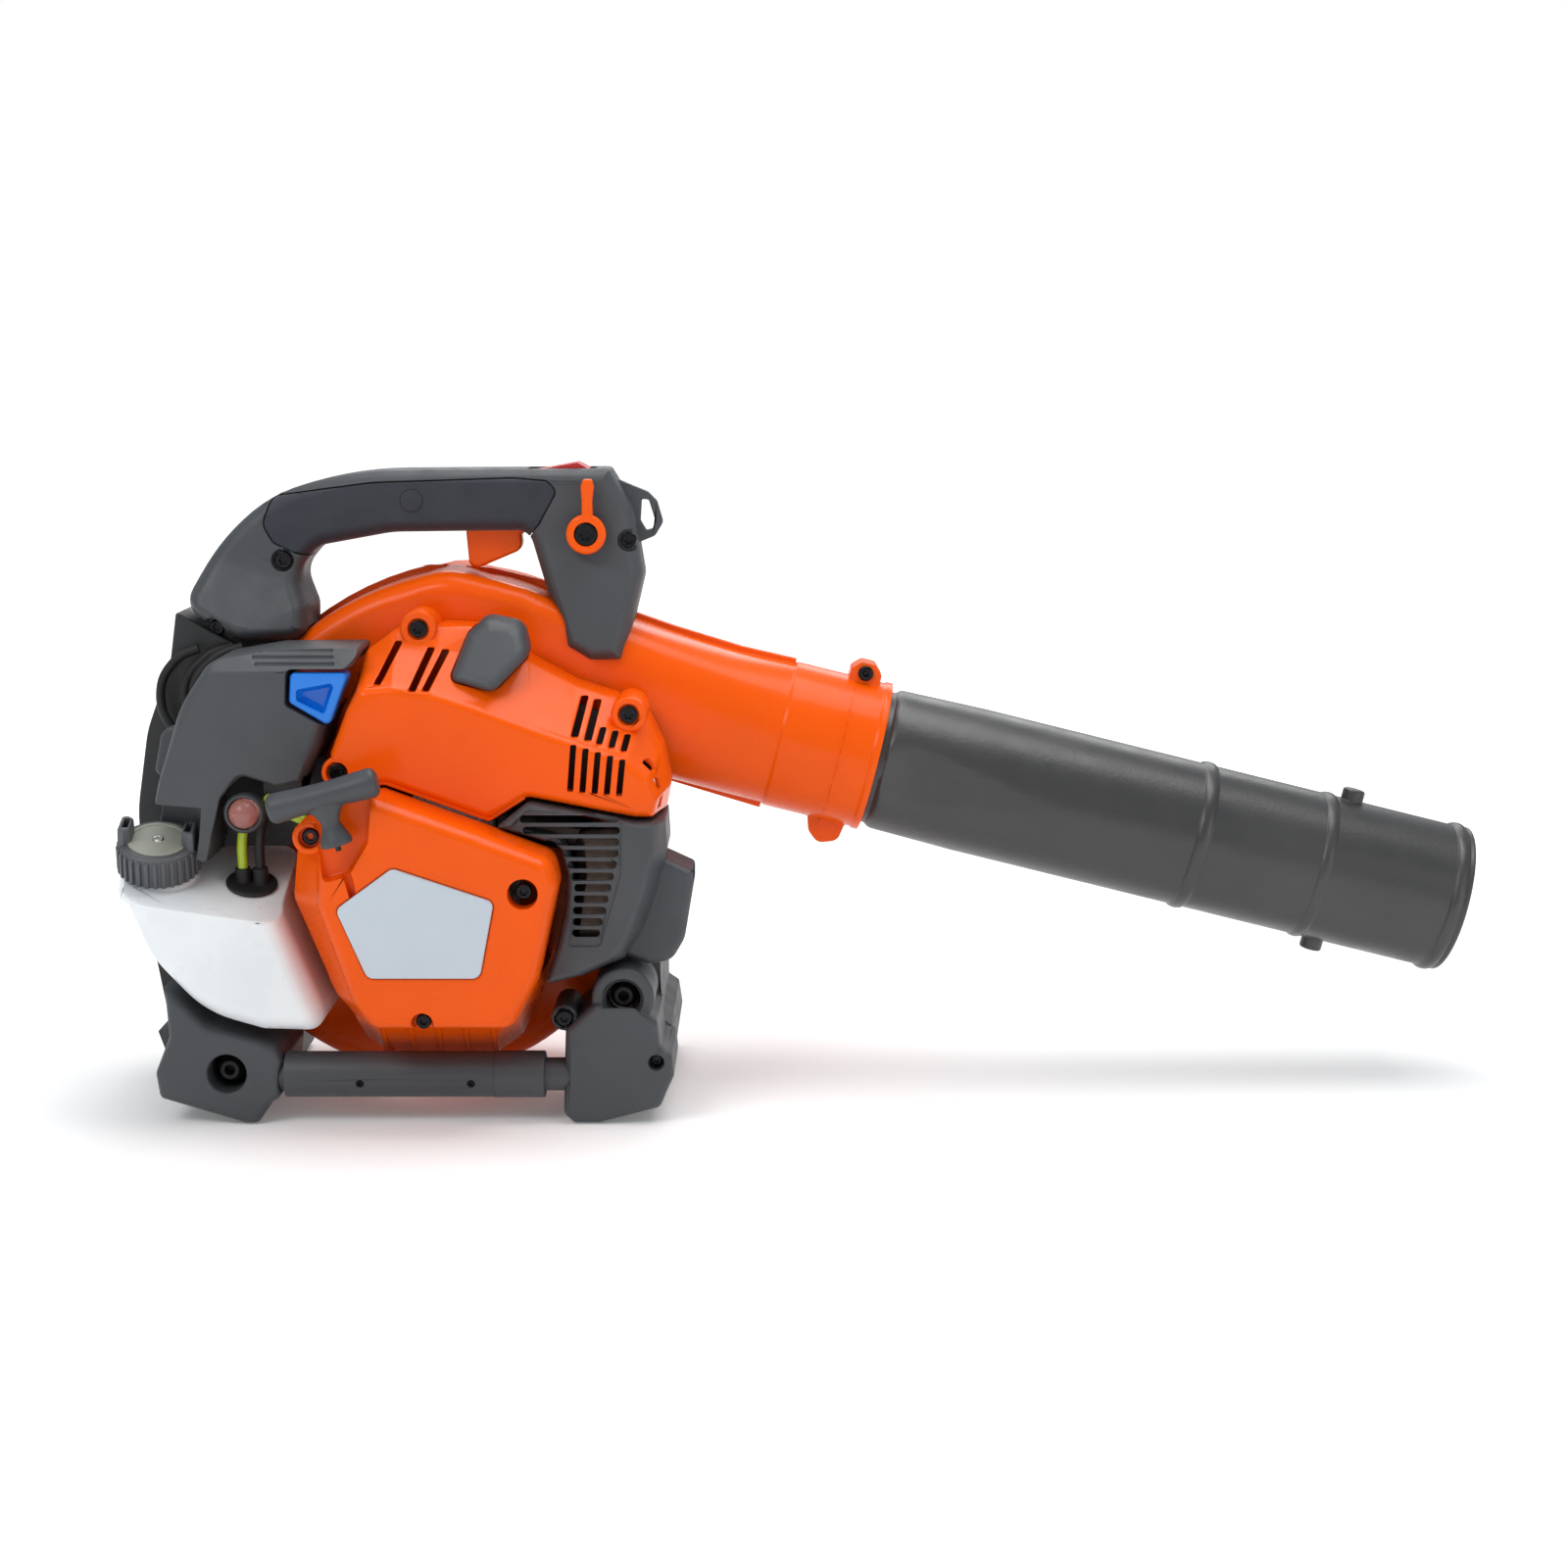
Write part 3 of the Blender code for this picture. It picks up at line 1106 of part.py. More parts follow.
# ---------------------------------------------------------------- frame and feet
def build_rear_frame():
    """Upright behind the tank and the filter, from the rear foot to the handle."""
    outer = [(-154, 292), (-162, 264, 20), (-177, 226, 40), (-184, 180, 50), (-176, 110, 60), (-164, 58)]
    inner = [
        (-146.5, 58), (-161, 112, 60), (-168.5, 180, 50), (-162, 226, 40), (-148, 258, 10), (-128, 266, 4)
    ]
    top = [(-113, 270), (-113, 272.6), (-131, 281.8), (-147.8, 291.6)]
    frame = piece("rear_frame", prism([*outer, *inner, *top], -30.0, 28.0, 2), "grey_plastic")
    cut(frame, scroll(1.0), prism_rim())


REAR_FOOT = [
    (-146, 98), (-144, 70), (-152, 50, 6), (-150, 36, 3), (-104, 22, 4), (-95, 22, 3),
    (-88, 33.5), (-80, 33), (-70, 56, 3), (-82, 66, 4), (-94, 67.0), (-124, 75.5, 8),
]
FRONT_FOOT = [
    (70, 74), (68.5, 27, 4), (74, 22, 3), (88, 22), (121, 30.5, 4), (124, 38), (128.5, 48, 4), (127.5, 60, 3),
    (121, 63), (120, 78), (108, 88), (86, 88),
]
BAR_Y, BAR_Z = -101.5, 47.5


def build_feet():
    rear = piece(
        "rear_foot", stack(REAR_FOOT, [(-112.0, 3.0), (-107.5, 0.0), (-40.0, 0.0)], 2), "grey_plastic"
    )
    arm = [
        (-165, 57), (-158, 37, 8), (-104, 23.4, 3), (-95, 25), (-101, 50), (-113, 62), (-131, 96),
        (-144, 96), (-146, 57)
    ]
    join(rear, prism(arm, -43.4, 66.0, 2))
    cut(rear, cylinder((-113, -115, 50), (0, 1, 0), 10.5, 27.0, 16))
    front = piece(
        "front_foot", stack(FRONT_FOOT, [(-108.0, 3.0), (-103.5, 0.0), (-46.0, 0.0)], 2), "grey_plastic"
    )
    cut(front, rod((60, BAR_Y, BAR_Z), (83, BAR_Y, BAR_Z), 9.5, 14))
    boss = turned([(15.0, -105.8), (17.0, -103.6), (17.0, -62.0)], (101, 0, 90), (0, 1, 0), 18)
    ear = turned([(6.0, -104.4), (7.2, -103.2), (7.2, -64.0)], (69.2, 0, 79.3), (0, 1, 0), 12)
    arm = [
        (82, 24, 3), (121, 31.5, 4), (127, 48, 4), (125, 62), (119, 66), (119, 98), (108, 104, 4),
        (106, 94), (100, 68), (88, 46), (80, 30)
    ]
    join(front, boss, ear, prism(arm, -50.0, 66.0, 2))
    cut(front, cylinder((101, -110, 90), (0, 1, 0), 9.5, 27.0, 16))
    cut(rear, rod((-70, BAR_Y, BAR_Z), (-92, BAR_Y, BAR_Z), 9.4, 16))
    cut(rear, rod((-76, BAR_Y, BAR_Z), (-60, BAR_Y, BAR_Z), 13.0, 20))


def build_base_bar():
    profile = [(9.0, -90.0), (9.0, -75.5), (12.4, -75.5), (12.4, 58.5), (9.0, 58.5), (9.0, 80.0)]
    piece("base_bar", turned(profile, (0, BAR_Y, BAR_Z), (1, 0, 0), 18), "grey_plastic")


def build_mounts():
    """Rubber anti-vibration buffers in the bores of the feet."""
    for name, x, z, y in (("av_mount_rear", -113, 50, -88.3), ("av_mount_front", 101, 90, -83.3)):
        profile = [(7.6, 0.0), (7.6, 9.0), (5.4, 12.0), (5.4, 15.0)]
        piece(name, turned(profile, (x, y, z), (0, -1, 0), 14), "rubber")


def main():
    build_fan_housing()
    build_clamp_screw()
    build_tube()
    build_impeller()
    build_intake_grille()
    build_crankcase()
    build_cylinder()
    build_piston_group()
    build_crankshaft()
    build_flywheel()
    build_ignition()
    build_muffler()
    build_muffler_outlet()
    build_engine_cover()
    build_spark_plug_cover()
    build_starter_housing()
    build_starter_badge()
    build_engine_shroud()
    build_muffler_guard()
    build_air_filter_cover()
    build_air_filter()
    build_choke_lever()
    build_carburettor()
    build_throttle_valve()
    build_primer()
    build_fuel_tank()
    build_fuel_cap()
    build_fuel_lines()
    build_starter()
    build_starter_handle()
    build_handle()
    build_grip()
    build_controls()
    build_throttle_cable()
    build_rear_frame()
    build_feet()
    build_base_bar()
    build_mounts()


main()
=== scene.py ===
"""Looks of the hand-held petrol leaf blower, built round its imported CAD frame.

Every piece that stands for a CAD node rides with that node's body and keeps its place and size, but for the
rear frame, which stands up to 9 mm further in. Design lengths are millimetres, with X counted from the axis of
the crankshaft, and ORIGIN moves them to the frame of the part (metres).
"""

import json
import math

import bmesh
import bpy
from mathutils import Matrix, Vector


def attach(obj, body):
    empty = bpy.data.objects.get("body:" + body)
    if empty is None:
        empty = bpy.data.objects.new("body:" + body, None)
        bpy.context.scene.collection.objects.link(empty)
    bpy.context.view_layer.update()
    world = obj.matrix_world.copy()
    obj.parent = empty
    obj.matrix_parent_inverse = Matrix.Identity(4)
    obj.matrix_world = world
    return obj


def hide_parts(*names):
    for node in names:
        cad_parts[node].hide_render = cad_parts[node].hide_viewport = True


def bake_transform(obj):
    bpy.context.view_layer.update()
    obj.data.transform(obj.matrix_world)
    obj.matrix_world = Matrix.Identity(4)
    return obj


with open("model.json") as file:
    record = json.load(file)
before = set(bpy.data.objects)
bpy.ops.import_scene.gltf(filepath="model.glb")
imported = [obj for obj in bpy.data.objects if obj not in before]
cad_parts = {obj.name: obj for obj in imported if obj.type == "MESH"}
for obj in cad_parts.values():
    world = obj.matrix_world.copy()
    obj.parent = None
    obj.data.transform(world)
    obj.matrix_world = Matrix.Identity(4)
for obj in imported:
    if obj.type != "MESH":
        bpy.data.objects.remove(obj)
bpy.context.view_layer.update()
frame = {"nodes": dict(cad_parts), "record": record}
NODES = frame["nodes"]
RECORD = frame["record"]
NODE_BODY = {node: body for body, nodes in RECORD["behaviour"]["bodies"].items() for node in nodes}
NODE_SLOT = {part["node"]: part["material_slot"] for part in RECORD["subparts"]}

ORIGIN = Vector((-200.24, 39.3, -22.0))  # from the design frame to the frame of the part, mm
MM = 0.001
CRANK_Z = 143.0
SPLIT_Y = 12.0  # where the two halves of the fan housing meet
TUBE_PITCH = math.radians(13.98)
TUBE_START = Vector((76.0, SPLIT_Y, 246.0))
TUBE_DIR = Vector((math.cos(TUBE_PITCH), 0.0, -math.sin(TUBE_PITCH)))
TUBE_UP = Vector((math.sin(TUBE_PITCH), 0.0, math.cos(TUBE_PITCH)))
SLEEVE_END_S = 169.0  # distances along the tube's axis from TUBE_START
TUBE_END_S = 513.0
CRANK_Y = -80.0  # the plane of the cylinder and of the connecting rod
ALONG_CRANK = (0, 1, 0)
TO_STARTER = (0, -1, 0)  # along the crankshaft, towards the recoil starter
WALL = 2.5  # of a moulded cover
EDGE = 0.5  # radius of a moulded edge
SMOOTH_DEG = 34.0  # an edge that turns further than this is a real edge
FLOOR_Z = 0.0
WELD = 0.002 * MM  # vertices closer than this become one
BOOLEAN_WELD = 0.01 * MM  # the same after a Boolean
LOOKS = {  # pieces whose look isn't that of their slot
    # the muffler's look is darkened steel: partly its own brownish colour, partly painted shade for the gloom
    # behind the guard's slots
    "muffler": "brown_steel_with_painted_shade", "carburettor": "frame_black", "rear_frame": "frame_black",
    "rear_web": "frame_black", "cover_baffle": "frame_black", "intake_panel": "frame_black",
    "cap_disc": "cap_disc",
}


def at(point):
    """A design point (mm) in the frame of the part (m)."""
    return (Vector(point) + ORIGIN) * MM


def tube_point(s):
    """Point on the tube's axis."""
    return TUBE_START + TUBE_DIR * s


# ---------------------------------------------------------------- materials
class Tree:
    """Short way to build a node material."""

    def __init__(self, name):
        self.material = bpy.data.materials.new(name)
        self.material.use_nodes = True
        self.tree = self.material.node_tree
        self.shader = self.tree.nodes["Principled BSDF"]
        self.place = self.add("ShaderNodeTexCoord").outputs["Object"]

    def add(self, kind, **values):
        node = self.tree.nodes.new(kind)
        for key, value in values.items():
            if hasattr(node, key):
                setattr(node, key, value)
            else:
                node.inputs[key.replace("_", " ")].default_value = value
        return node

    def link(self, source, target):
        self.tree.links.new(source, target)

    def noise(self, scale, detail=2.0, roughness=0.5, place=None):
        node = self.add("ShaderNodeTexNoise", Scale=scale, Detail=detail, Roughness=roughness)
        self.link(place or self.place, node.inputs["Vector"])
        return node.outputs["Fac"]

    def spread(self, source, low, high, start=0.3, stop=0.7):
        node = self.add("ShaderNodeMapRange")
        node.inputs["From Min"].default_value = start
        node.inputs["From Max"].default_value = stop
        node.inputs["To Min"].default_value = low
        node.inputs["To Max"].default_value = high
        self.link(source, node.inputs["Value"])
        return node.outputs["Result"]

    def mixed(self, source, first, second):
        node = self.add("ShaderNodeMix", data_type="RGBA")
        node.inputs["A"].default_value = (*first, 1.0)
        node.inputs["B"].default_value = (*second, 1.0)
        self.link(source, node.inputs["Factor"])
        return node.outputs["Result"]

    def tone(self, source, first, second):
        """Base colour that wanders between two colours."""
        self.link(self.mixed(self.spread(source, 0.0, 1.0), first, second), self.shader.inputs["Base Color"])

    def gloss(self, source, low, high):
        """Roughness that wanders between two values."""
        self.link(self.spread(source, low, high), self.shader.inputs["Roughness"])

    def relief(self, normal):
        self.link(normal, self.shader.inputs["Normal"])

    def bump(self, source, strength, distance, normal=None):
        node = self.add("ShaderNodeBump", Strength=strength, Distance=distance)
        self.link(source, node.inputs["Height"])
        if normal:
            self.link(normal, node.inputs["Normal"])
        return node.outputs["Normal"]

    def set(self, **values):
        for key, value in values.items():
            self.shader.inputs[key.replace("_", " ")].default_value = value


def shade(colour, factor):
    return tuple(min(1.0, c * factor) for c in colour)


def moulded(name, colour, roughness, grain, depth, drift=0.07, **extra):
    """Injection-moulded plastic: slow drift of tone, uneven gloss and the grain of the mould."""
    t = Tree(name)
    t.tone(t.noise(14.0, 3.0), shade(colour, 1.0 - drift), shade(colour, 1.0 + drift))
    t.gloss(t.noise(60.0, 4.0), roughness * 0.86, roughness * 1.16)
    fine = t.bump(t.noise(grain, 3.0, 0.6), depth, 0.0002)
    t.relief(t.bump(t.noise(26.0, 1.0), 0.05, 0.002, fine))
    t.set(**extra)
    return t.material


def metal(name, colour, roughness, grain, stretch=(1.0, 1.0, 1.0), depth=0.25):
    """Bare metal: cast skin, or brushed where the grain is stretched along one axis."""
    t = Tree(name)
    mapping = t.add("ShaderNodeMapping")
    mapping.inputs["Scale"].default_value = stretch
    t.link(t.place, mapping.inputs["Vector"])
    place = mapping.outputs["Vector"]
    t.tone(t.noise(35.0, 4.0), shade(colour, 0.82), shade(colour, 1.06))
    t.gloss(t.noise(grain * 0.4, 3.0, place=place), roughness * 0.75, roughness * 1.25)
    t.relief(t.bump(t.noise(grain, 2.0, place=place), depth, 0.0001))
    t.set(Metallic=1.0)
    return t.material


def clear_bulb():
    """Soft see-through plastic of the primer bulb, with a pink tint."""
    t = Tree("clear_pink")
    t.tone(t.noise(120.0, 2.0), (0.86, 0.36, 0.32), (0.95, 0.5, 0.45))
    t.gloss(t.noise(300.0), 0.06, 0.14)
    t.relief(t.bump(t.noise(90.0, 1.0), 0.15, 0.0006))
    t.set(IOR=1.42, Transmission_Weight=0.75)
    return t.material


def tank_plastic():
    """Blow-moulded tank: milky, a little see-through, with faint flow marks."""
    t = Tree("tank_plastic")
    t.tone(t.noise(18.0, 3.0), (0.74, 0.79, 0.81), (0.86, 0.89, 0.90))
    t.gloss(t.noise(70.0, 3.0), 0.26, 0.4)
    fine = t.bump(t.noise(900.0, 2.0), 0.1, 0.0002)
    t.relief(t.bump(t.noise(45.0, 2.0), 0.12, 0.0012, fine))
    t.set(Subsurface_Weight=0.35, Subsurface_Scale=0.012, Subsurface_Radius=(1.0, 0.95, 0.9), IOR=1.45)
    return t.material


def tube_plastic():
    """Tube: semi-gloss with orange peel."""
    t = Tree("black_tube")
    t.tone(t.noise(12.0, 3.0), (0.030, 0.030, 0.031), (0.040, 0.040, 0.040))
    t.gloss(t.noise(45.0, 4.0), 0.31, 0.42)
    peel = t.bump(t.noise(420.0, 2.0, 0.55), 0.22, 0.0005)
    t.relief(t.bump(t.noise(1800.0, 2.0), 0.1, 0.0001, peel))
    t.set(Specular_IOR_Level=0.6)
    return t.material


def rubber(name, colour, roughness):
    return moulded(name, colour, roughness, 1600.0, 0.3, 0.12, Specular_IOR_Level=0.35)


MATERIALS = {
    "orange_plastic": moulded("orange_plastic", (0.86, 0.098, 0.0012), 0.26, 900.0, 0.05, 0.05,
                              Specular_IOR_Level=0.14, Coat_Weight=0.08, Coat_Roughness=0.12),
    "grey_plastic": moulded("grey_plastic", (0.050, 0.055, 0.061), 0.5, 1500.0, 0.4, 0.08),
    "soft_grip": moulded("soft_grip", (0.017, 0.021, 0.031), 0.62, 2100.0, 0.5, 0.08,
                         Sheen_Weight=0.12, Sheen_Roughness=0.5),
    "black_tube": tube_plastic(),
    "black_steel": metal("black_steel", (0.022, 0.022, 0.024), 0.28, 900.0),
    "steel": metal("steel", (0.62, 0.62, 0.6), 0.28, 1200.0, (1.0, 1.0, 6.0)),
    "aluminium": metal("aluminium", (0.72, 0.73, 0.74), 0.42, 700.0, depth=0.5),
    "rubber": rubber("rubber", (0.014, 0.014, 0.015), 0.55),
    "tank_plastic": tank_plastic(),
    "cap_disc": moulded("cap_disc", (0.3, 0.31, 0.26), 0.38, 1300.0, 0.2, 0.08),
    # Muffler steel: its own dark brownish colour, made darker still as painted shade for the gloom behind the
    # guard's slots.
    "brown_steel_with_painted_shade": metal("brown_steel_with_painted_shade", (0.10, 0.075, 0.062), 0.45, 700.0),
    "frame_black": moulded("frame_black", (0.014, 0.015, 0.016), 0.5, 1500.0, 0.35, 0.1),
    "cap_plastic": moulded("cap_plastic", (0.078, 0.083, 0.092), 0.45, 1400.0, 0.35),
    "blue_plastic": moulded("blue_plastic", (0.002, 0.19, 0.72), 0.3, 1000.0, 0.08, Coat_Weight=0.1),
    "red_plastic": moulded("red_plastic", (0.62, 0.012, 0.02), 0.3, 1000.0, 0.08, Coat_Weight=0.2),
    "badge_silver": moulded("badge_silver", (0.52, 0.58, 0.64), 0.42, 2600.0, 0.12, 0.03, Metallic=0.15),
    "clear_pink": clear_bulb(),
    "fuel_green": moulded("fuel_green", (0.5, 0.68, 0.03), 0.22, 700.0, 0.06, 0.1, Transmission_Weight=0.25),
    "paper": moulded("paper", (0.72, 0.64, 0.46), 0.9, 1200.0, 0.6, 0.1),
}


# ---------------------------------------------------------------- pieces
def link(name, mesh, slot):
    obj = bpy.data.objects.new(name, mesh)
    obj.data.materials.clear()
    obj.data.materials.append(MATERIALS[slot])
    bpy.context.scene.collection.objects.link(obj)
    return obj


def soften(bm, name, edge=EDGE):
    """Mesh from bm with its sharp edges rounded and the rest shaded smooth."""
    if edge:
        sharp = [
            e for e in bm.edges if len(e.link_faces) == 2 and e.calc_face_angle() > math.radians(SMOOTH_DEG)
        ]
        bmesh.ops.bevel(bm, geom=sharp, offset=edge * MM, offset_type="OFFSET", segments=2, profile=0.5,
                        affect="EDGES", clamp_overlap=False)
    for vert in bm.verts:
        vert.co.z = max(vert.co.z, FLOOR_Z)
    mesh = bpy.data.meshes.new(name)
    bm.to_mesh(mesh)
    bm.free()
    mesh.shade_smooth()
    mesh.set_sharp_from_angle(angle=math.radians(SMOOTH_DEG + 10.0))
    return mesh


def even(obj):
    """Normals that follow the larger faces, so that flat walls stay flat beside their rounded edges."""
    modifier = obj.modifiers.new("even_normals", "WEIGHTED_NORMAL")
    modifier.keep_sharp = True
    modifier.weight = 80  # how much more a larger face counts; 50 is even
    return obj


def put(name, mesh, edge=EDGE, slot=None, body=None):
    """Piece made from a mesh; it stands for the CAD node of the same name, if there is one.

    Trim that has no CAD node names its slot, and its body unless it is the frame.
    """
    bm = bmesh.new()
    bm.from_mesh(mesh)
    bmesh.ops.remove_doubles(bm, verts=bm.verts, dist=WELD)
    slot = slot or NODE_SLOT[name]
    label = f"{name}_skin" if name in NODES else name
    obj = even(link(label, soften(bm, name, edge), LOOKS.get(name, slot)))
    if name in NODES:
        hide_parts(name)
    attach(obj, body or NODE_BODY.get(name, "frame"))


# ---------------------------------------------------------------- solids in design millimetres
FINE = 3  # how many times finer than the CAD a round shape is cut
DRAFTS = {}


def to_mesh(bm, name):
    """Mesh in metres, in the frame of the part."""
    bmesh.ops.recalc_face_normals(bm, faces=bm.faces)
    bmesh.ops.triangulate(bm, faces=bm.faces)
    bmesh.ops.translate(bm, verts=bm.verts, vec=ORIGIN)
    bmesh.ops.scale(bm, verts=bm.verts, vec=(MM, MM, MM))
    mesh = bpy.data.meshes.new(name)
    bm.to_mesh(mesh)
    bm.free()
    return mesh


def draft(name, bm):
    """A shape that Booleans change before it becomes a piece."""
    obj = bpy.data.objects.new(f"draft_{name}", to_mesh(bm, name))
    bpy.context.scene.collection.objects.link(obj)
    DRAFTS[name] = obj
    return obj


def boolean(target, bm, operation):
    """Joins, cuts or keeps the volume at once, and uses it up."""
    tool = bpy.data.objects.new("tool", to_mesh(bm, "tool"))
    bpy.context.scene.collection.objects.link(tool)
    apply_boolean(target, tool, operation)


def apply_boolean(target, tool, operation):
    modifier = target.modifiers.new("boolean", "BOOLEAN")
    modifier.operation = operation
    modifier.solver = "EXACT"
    modifier.object = tool
    graph = bpy.context.evaluated_depsgraph_get()
    mesh = bpy.data.meshes.new_from_object(target.evaluated_get(graph))
    target.modifiers.clear()
    bm = bmesh.new()
    bm.from_mesh(mesh)
    bmesh.ops.remove_doubles(bm, verts=bm.verts, dist=BOOLEAN_WELD)
    bmesh.ops.dissolve_degenerate(bm, dist=BOOLEAN_WELD, edges=bm.edges)
    bmesh.ops.triangulate(bm, faces=bm.faces)
    bm.to_mesh(mesh)
    bm.free()
    target.data = mesh
    bpy.data.objects.remove(tool)


def cut(target, *volumes):
    for bm in volumes:
        boolean(target, bm, "DIFFERENCE")


def join(target, *volumes):
    for bm in volumes:
        boolean(target, bm, "UNION")


def keep(target, bm):
    boolean(target, bm, "INTERSECT")


# ---------------------------------------------------------------- outlines in the XZ plane
def outline(corners, steps=3):
    """Closed outline from corners (x, z) or (x, z, radius): a radius turns the corner into an arc."""
    steps *= FINE
    points = []
    count = len(corners)
    for i, corner in enumerate(corners):
        here = Vector(corner[:2])
        if len(corner) == 2:
            points.append(here)
            continue
        before = (Vector(corners[i - 1][:2]) - here).normalized()
        after = (Vector(corners[(i + 1) % count][:2]) - here).normalized()
        half = 0.5 * before.angle(after)
        reach = corner[2] / math.tan(half)
        centre = here + (before + after).normalized() * corner[2] / math.sin(half)
        first = here + before * reach - centre
        turn = first.angle_signed(here + after * reach - centre)
        for k in range(steps + 1):
            angle = -turn * k / steps
            c, s = math.cos(angle), math.sin(angle)
            points.append(centre + Vector((first.x * c - first.y * s, first.x * s + first.y * c)))
    return [(p.x, p.y) for p in points]


def area(corners):
    total = 0.0
    for i, corner in enumerate(corners):
        before = corners[i - 1]
        total += before[0] * corner[1] - corner[0] * before[1]
    return 0.5 * total


def inset(corners, distance):
    """The corners moved inwards by distance (outwards when negative); their radii follow."""
    if distance == 0.0:
        return list(corners)
    side = math.copysign(1.0, area(corners))
    moved = []
    for i, corner in enumerate(corners):
        here = Vector(corner[:2])
        into = (here - Vector(corners[i - 1][:2])).normalized()
        out = (Vector(corners[(i + 1) % len(corners)][:2]) - here).normalized()
        normal = Vector((-into.y - out.y, into.x + out.x)).normalized() * side
        cosine = max(0.35, normal.dot(Vector((-into.y, into.x)) * side))
        place = here + normal * distance / cosine
        bulging = (into.x * out.y - into.y * out.x) * side > 0.0
        radius = [max(0.4, r - distance if bulging else r + distance) for r in corner[2:]]
        moved.append((place.x, place.y, *radius))
    return moved


def circle(radius, steps):
    turn = math.tau / steps
    return [(radius * math.cos(turn * k), radius * math.sin(turn * k)) for k in range(steps)]


def box_corners(x0, x1, z0, z1, radius=0.0):
    corners = [(x0, z0), (x1, z0), (x1, z1), (x0, z1)]
    return [(*c, radius) for c in corners] if radius else corners


# ---------------------------------------------------------------- solids
def loft(rings):
    """Closed solid through rings of equal length, capped at both ends."""
    bm = bmesh.new()
    rows = [[bm.verts.new(p) for p in ring] for ring in rings]
    count = len(rows[0])
    for a, b in zip(rows, rows[1:]):
        for i in range(count):
            j = (i + 1) % count
            bm.faces.new((a[i], a[j], b[j], b[i]))
    bm.faces.new(list(reversed(rows[0])))
    bm.faces.new(rows[-1])
    return bm


def stack(corners, levels, steps=3):
    """Outline stacked along Y: levels are (y, inset)."""
    return loft([[(x, y, z) for x, z in outline(inset(corners, d), steps)] for y, d in levels])


def prism(corners, y0, y1, steps=3):
    return stack(corners, [(y0, 0.0), (y1, 0.0)], steps)


def block(x0, x1, y0, y1, z0, z1, radius=0.0):
    return prism(box_corners(x0, x1, z0, z1, radius), y0, y1)


def frame_of(direction):
    """Rotation that takes +Z to the direction."""
    return Vector((0, 0, 1)).rotation_difference(Vector(direction).normalized()).to_matrix()


def spun_rows(bm, profile, base, direction, steps):
    """A row of points round the axis for each (radius, height); a zero radius gives a single point."""
    turn = frame_of(direction)
    rows = []
    for radius, height in profile:
        flat = circle(radius, steps) if radius else [(0.0, 0.0)]
        rows.append([bm.verts.new(Vector(base) + turn @ Vector((x, y, height))) for x, y in flat])
    return rows


def turned(profile, base, direction, steps=16):
    """Solid of revolution: profile is (radius, height) along direction. A zero radius makes a tip."""
    steps *= FINE
    bm = bmesh.new()
    rows = spun_rows(bm, profile, base, direction, steps)
    for a, b in zip(rows, rows[1:]):
        for i in range(steps):
            j = (i + 1) % steps
            if len(a) == 1:
                bm.faces.new((a[0], b[j], b[i]))
            elif len(b) == 1:
                bm.faces.new((a[i], a[j], b[0]))
            else:
                bm.faces.new((a[i], a[j], b[j], b[i]))
    if len(rows[0]) > 1:
        bm.faces.new(list(reversed(rows[0])))
    if len(rows[-1]) > 1:
        bm.faces.new(rows[-1])
    return bm


def ring_solid(profile, base, direction, steps=16):
    """Closed ring: the profile (radius, height) is a closed loop turned about the axis."""
    steps *= FINE
    bm = bmesh.new()
    rows = spun_rows(bm, profile, base, direction, steps)
    for a, b in zip(rows, rows[1:] + rows[:1]):
        for i in range(steps):
            j = (i + 1) % steps
            bm.faces.new((a[i], a[j], b[j], b[i]))
    return bm


def cylinder(base, direction, radius, height, steps=16):
    return turned([(radius, 0.0), (radius, height)], base, direction, steps)


def rod(start, end, radius, steps=12):
    start, end = Vector(start), Vector(end)
    return cylinder(start, end - start, radius, (end - start).length, steps)


def pipe(path, radius, steps=8):
    """Round solid along a path of points, with a ring square to the path at each point."""
    steps *= 2
    path = [Vector(p) for p in path]
    side = Vector((0.0, 1.0, 0.0))
    rings = []
    for i, here in enumerate(path):
        along = (path[min(i + 1, len(path) - 1)] - path[max(i - 1, 0)]).normalized()
        side = (side - along * side.dot(along)).normalized()
        across = along.cross(side)
        rings.append([here + side * u + across * v for u, v in circle(radius, steps)])
    return loft(rings)


def spline(a, b, c, d, t):
    """Catmull-Rom: from b at t = 0 to c at t = 1, with a and d as the neighbours."""
    return 0.5 * (2 * b + (c - a) * t + (2 * a - 5 * b + 4 * c - d) * t**2 + (3 * b - a - 3 * c + d) * t**3)


def curve(points, per_span):
    """Smooth path through the points."""
    points = [Vector(p) for p in points]
    ends = [2 * points[0] - points[1], *points, 2 * points[-1] - points[-2]]
    path = []
    for a, b, c, d in zip(ends, ends[1:], ends[2:], ends[3:]):
        path += [spline(a, b, c, d, k / per_span) for k in range(per_span)]
    return [*path, points[-1]]


def merged(*volumes):
    """One operand made of several volumes that do not touch each other."""
    whole = bmesh.new()
    for bm in volumes:
        bmesh.ops.recalc_face_normals(bm, faces=bm.faces)
        mesh = bpy.data.meshes.new("scratch")
        bm.to_mesh(mesh)
        bm.free()
        whole.from_mesh(mesh)
        bpy.data.meshes.remove(mesh)
    return whole


CRANK_CENTRE = Vector((0.0, 0.0, CRANK_Z))
CYLINDER_TILT = Matrix.Rotation(math.radians(12.0), 3, "Y")  # from upright towards the nozzle


def tilted(bm):
    """The volume turned about the crankshaft by the tilt of the cylinder."""
    bmesh.ops.rotate(bm, verts=bm.verts, cent=CRANK_CENTRE, matrix=CYLINDER_TILT)
    return bm


def tilted_point(point):
    return CRANK_CENTRE + CYLINDER_TILT @ (Vector(point) - CRANK_CENTRE)


INTAKE_PATH = tilted_point((-26.0, CRANK_Y, CRANK_Z + 48.0)), Vector((-67.0, CRANK_Y, 208.0))


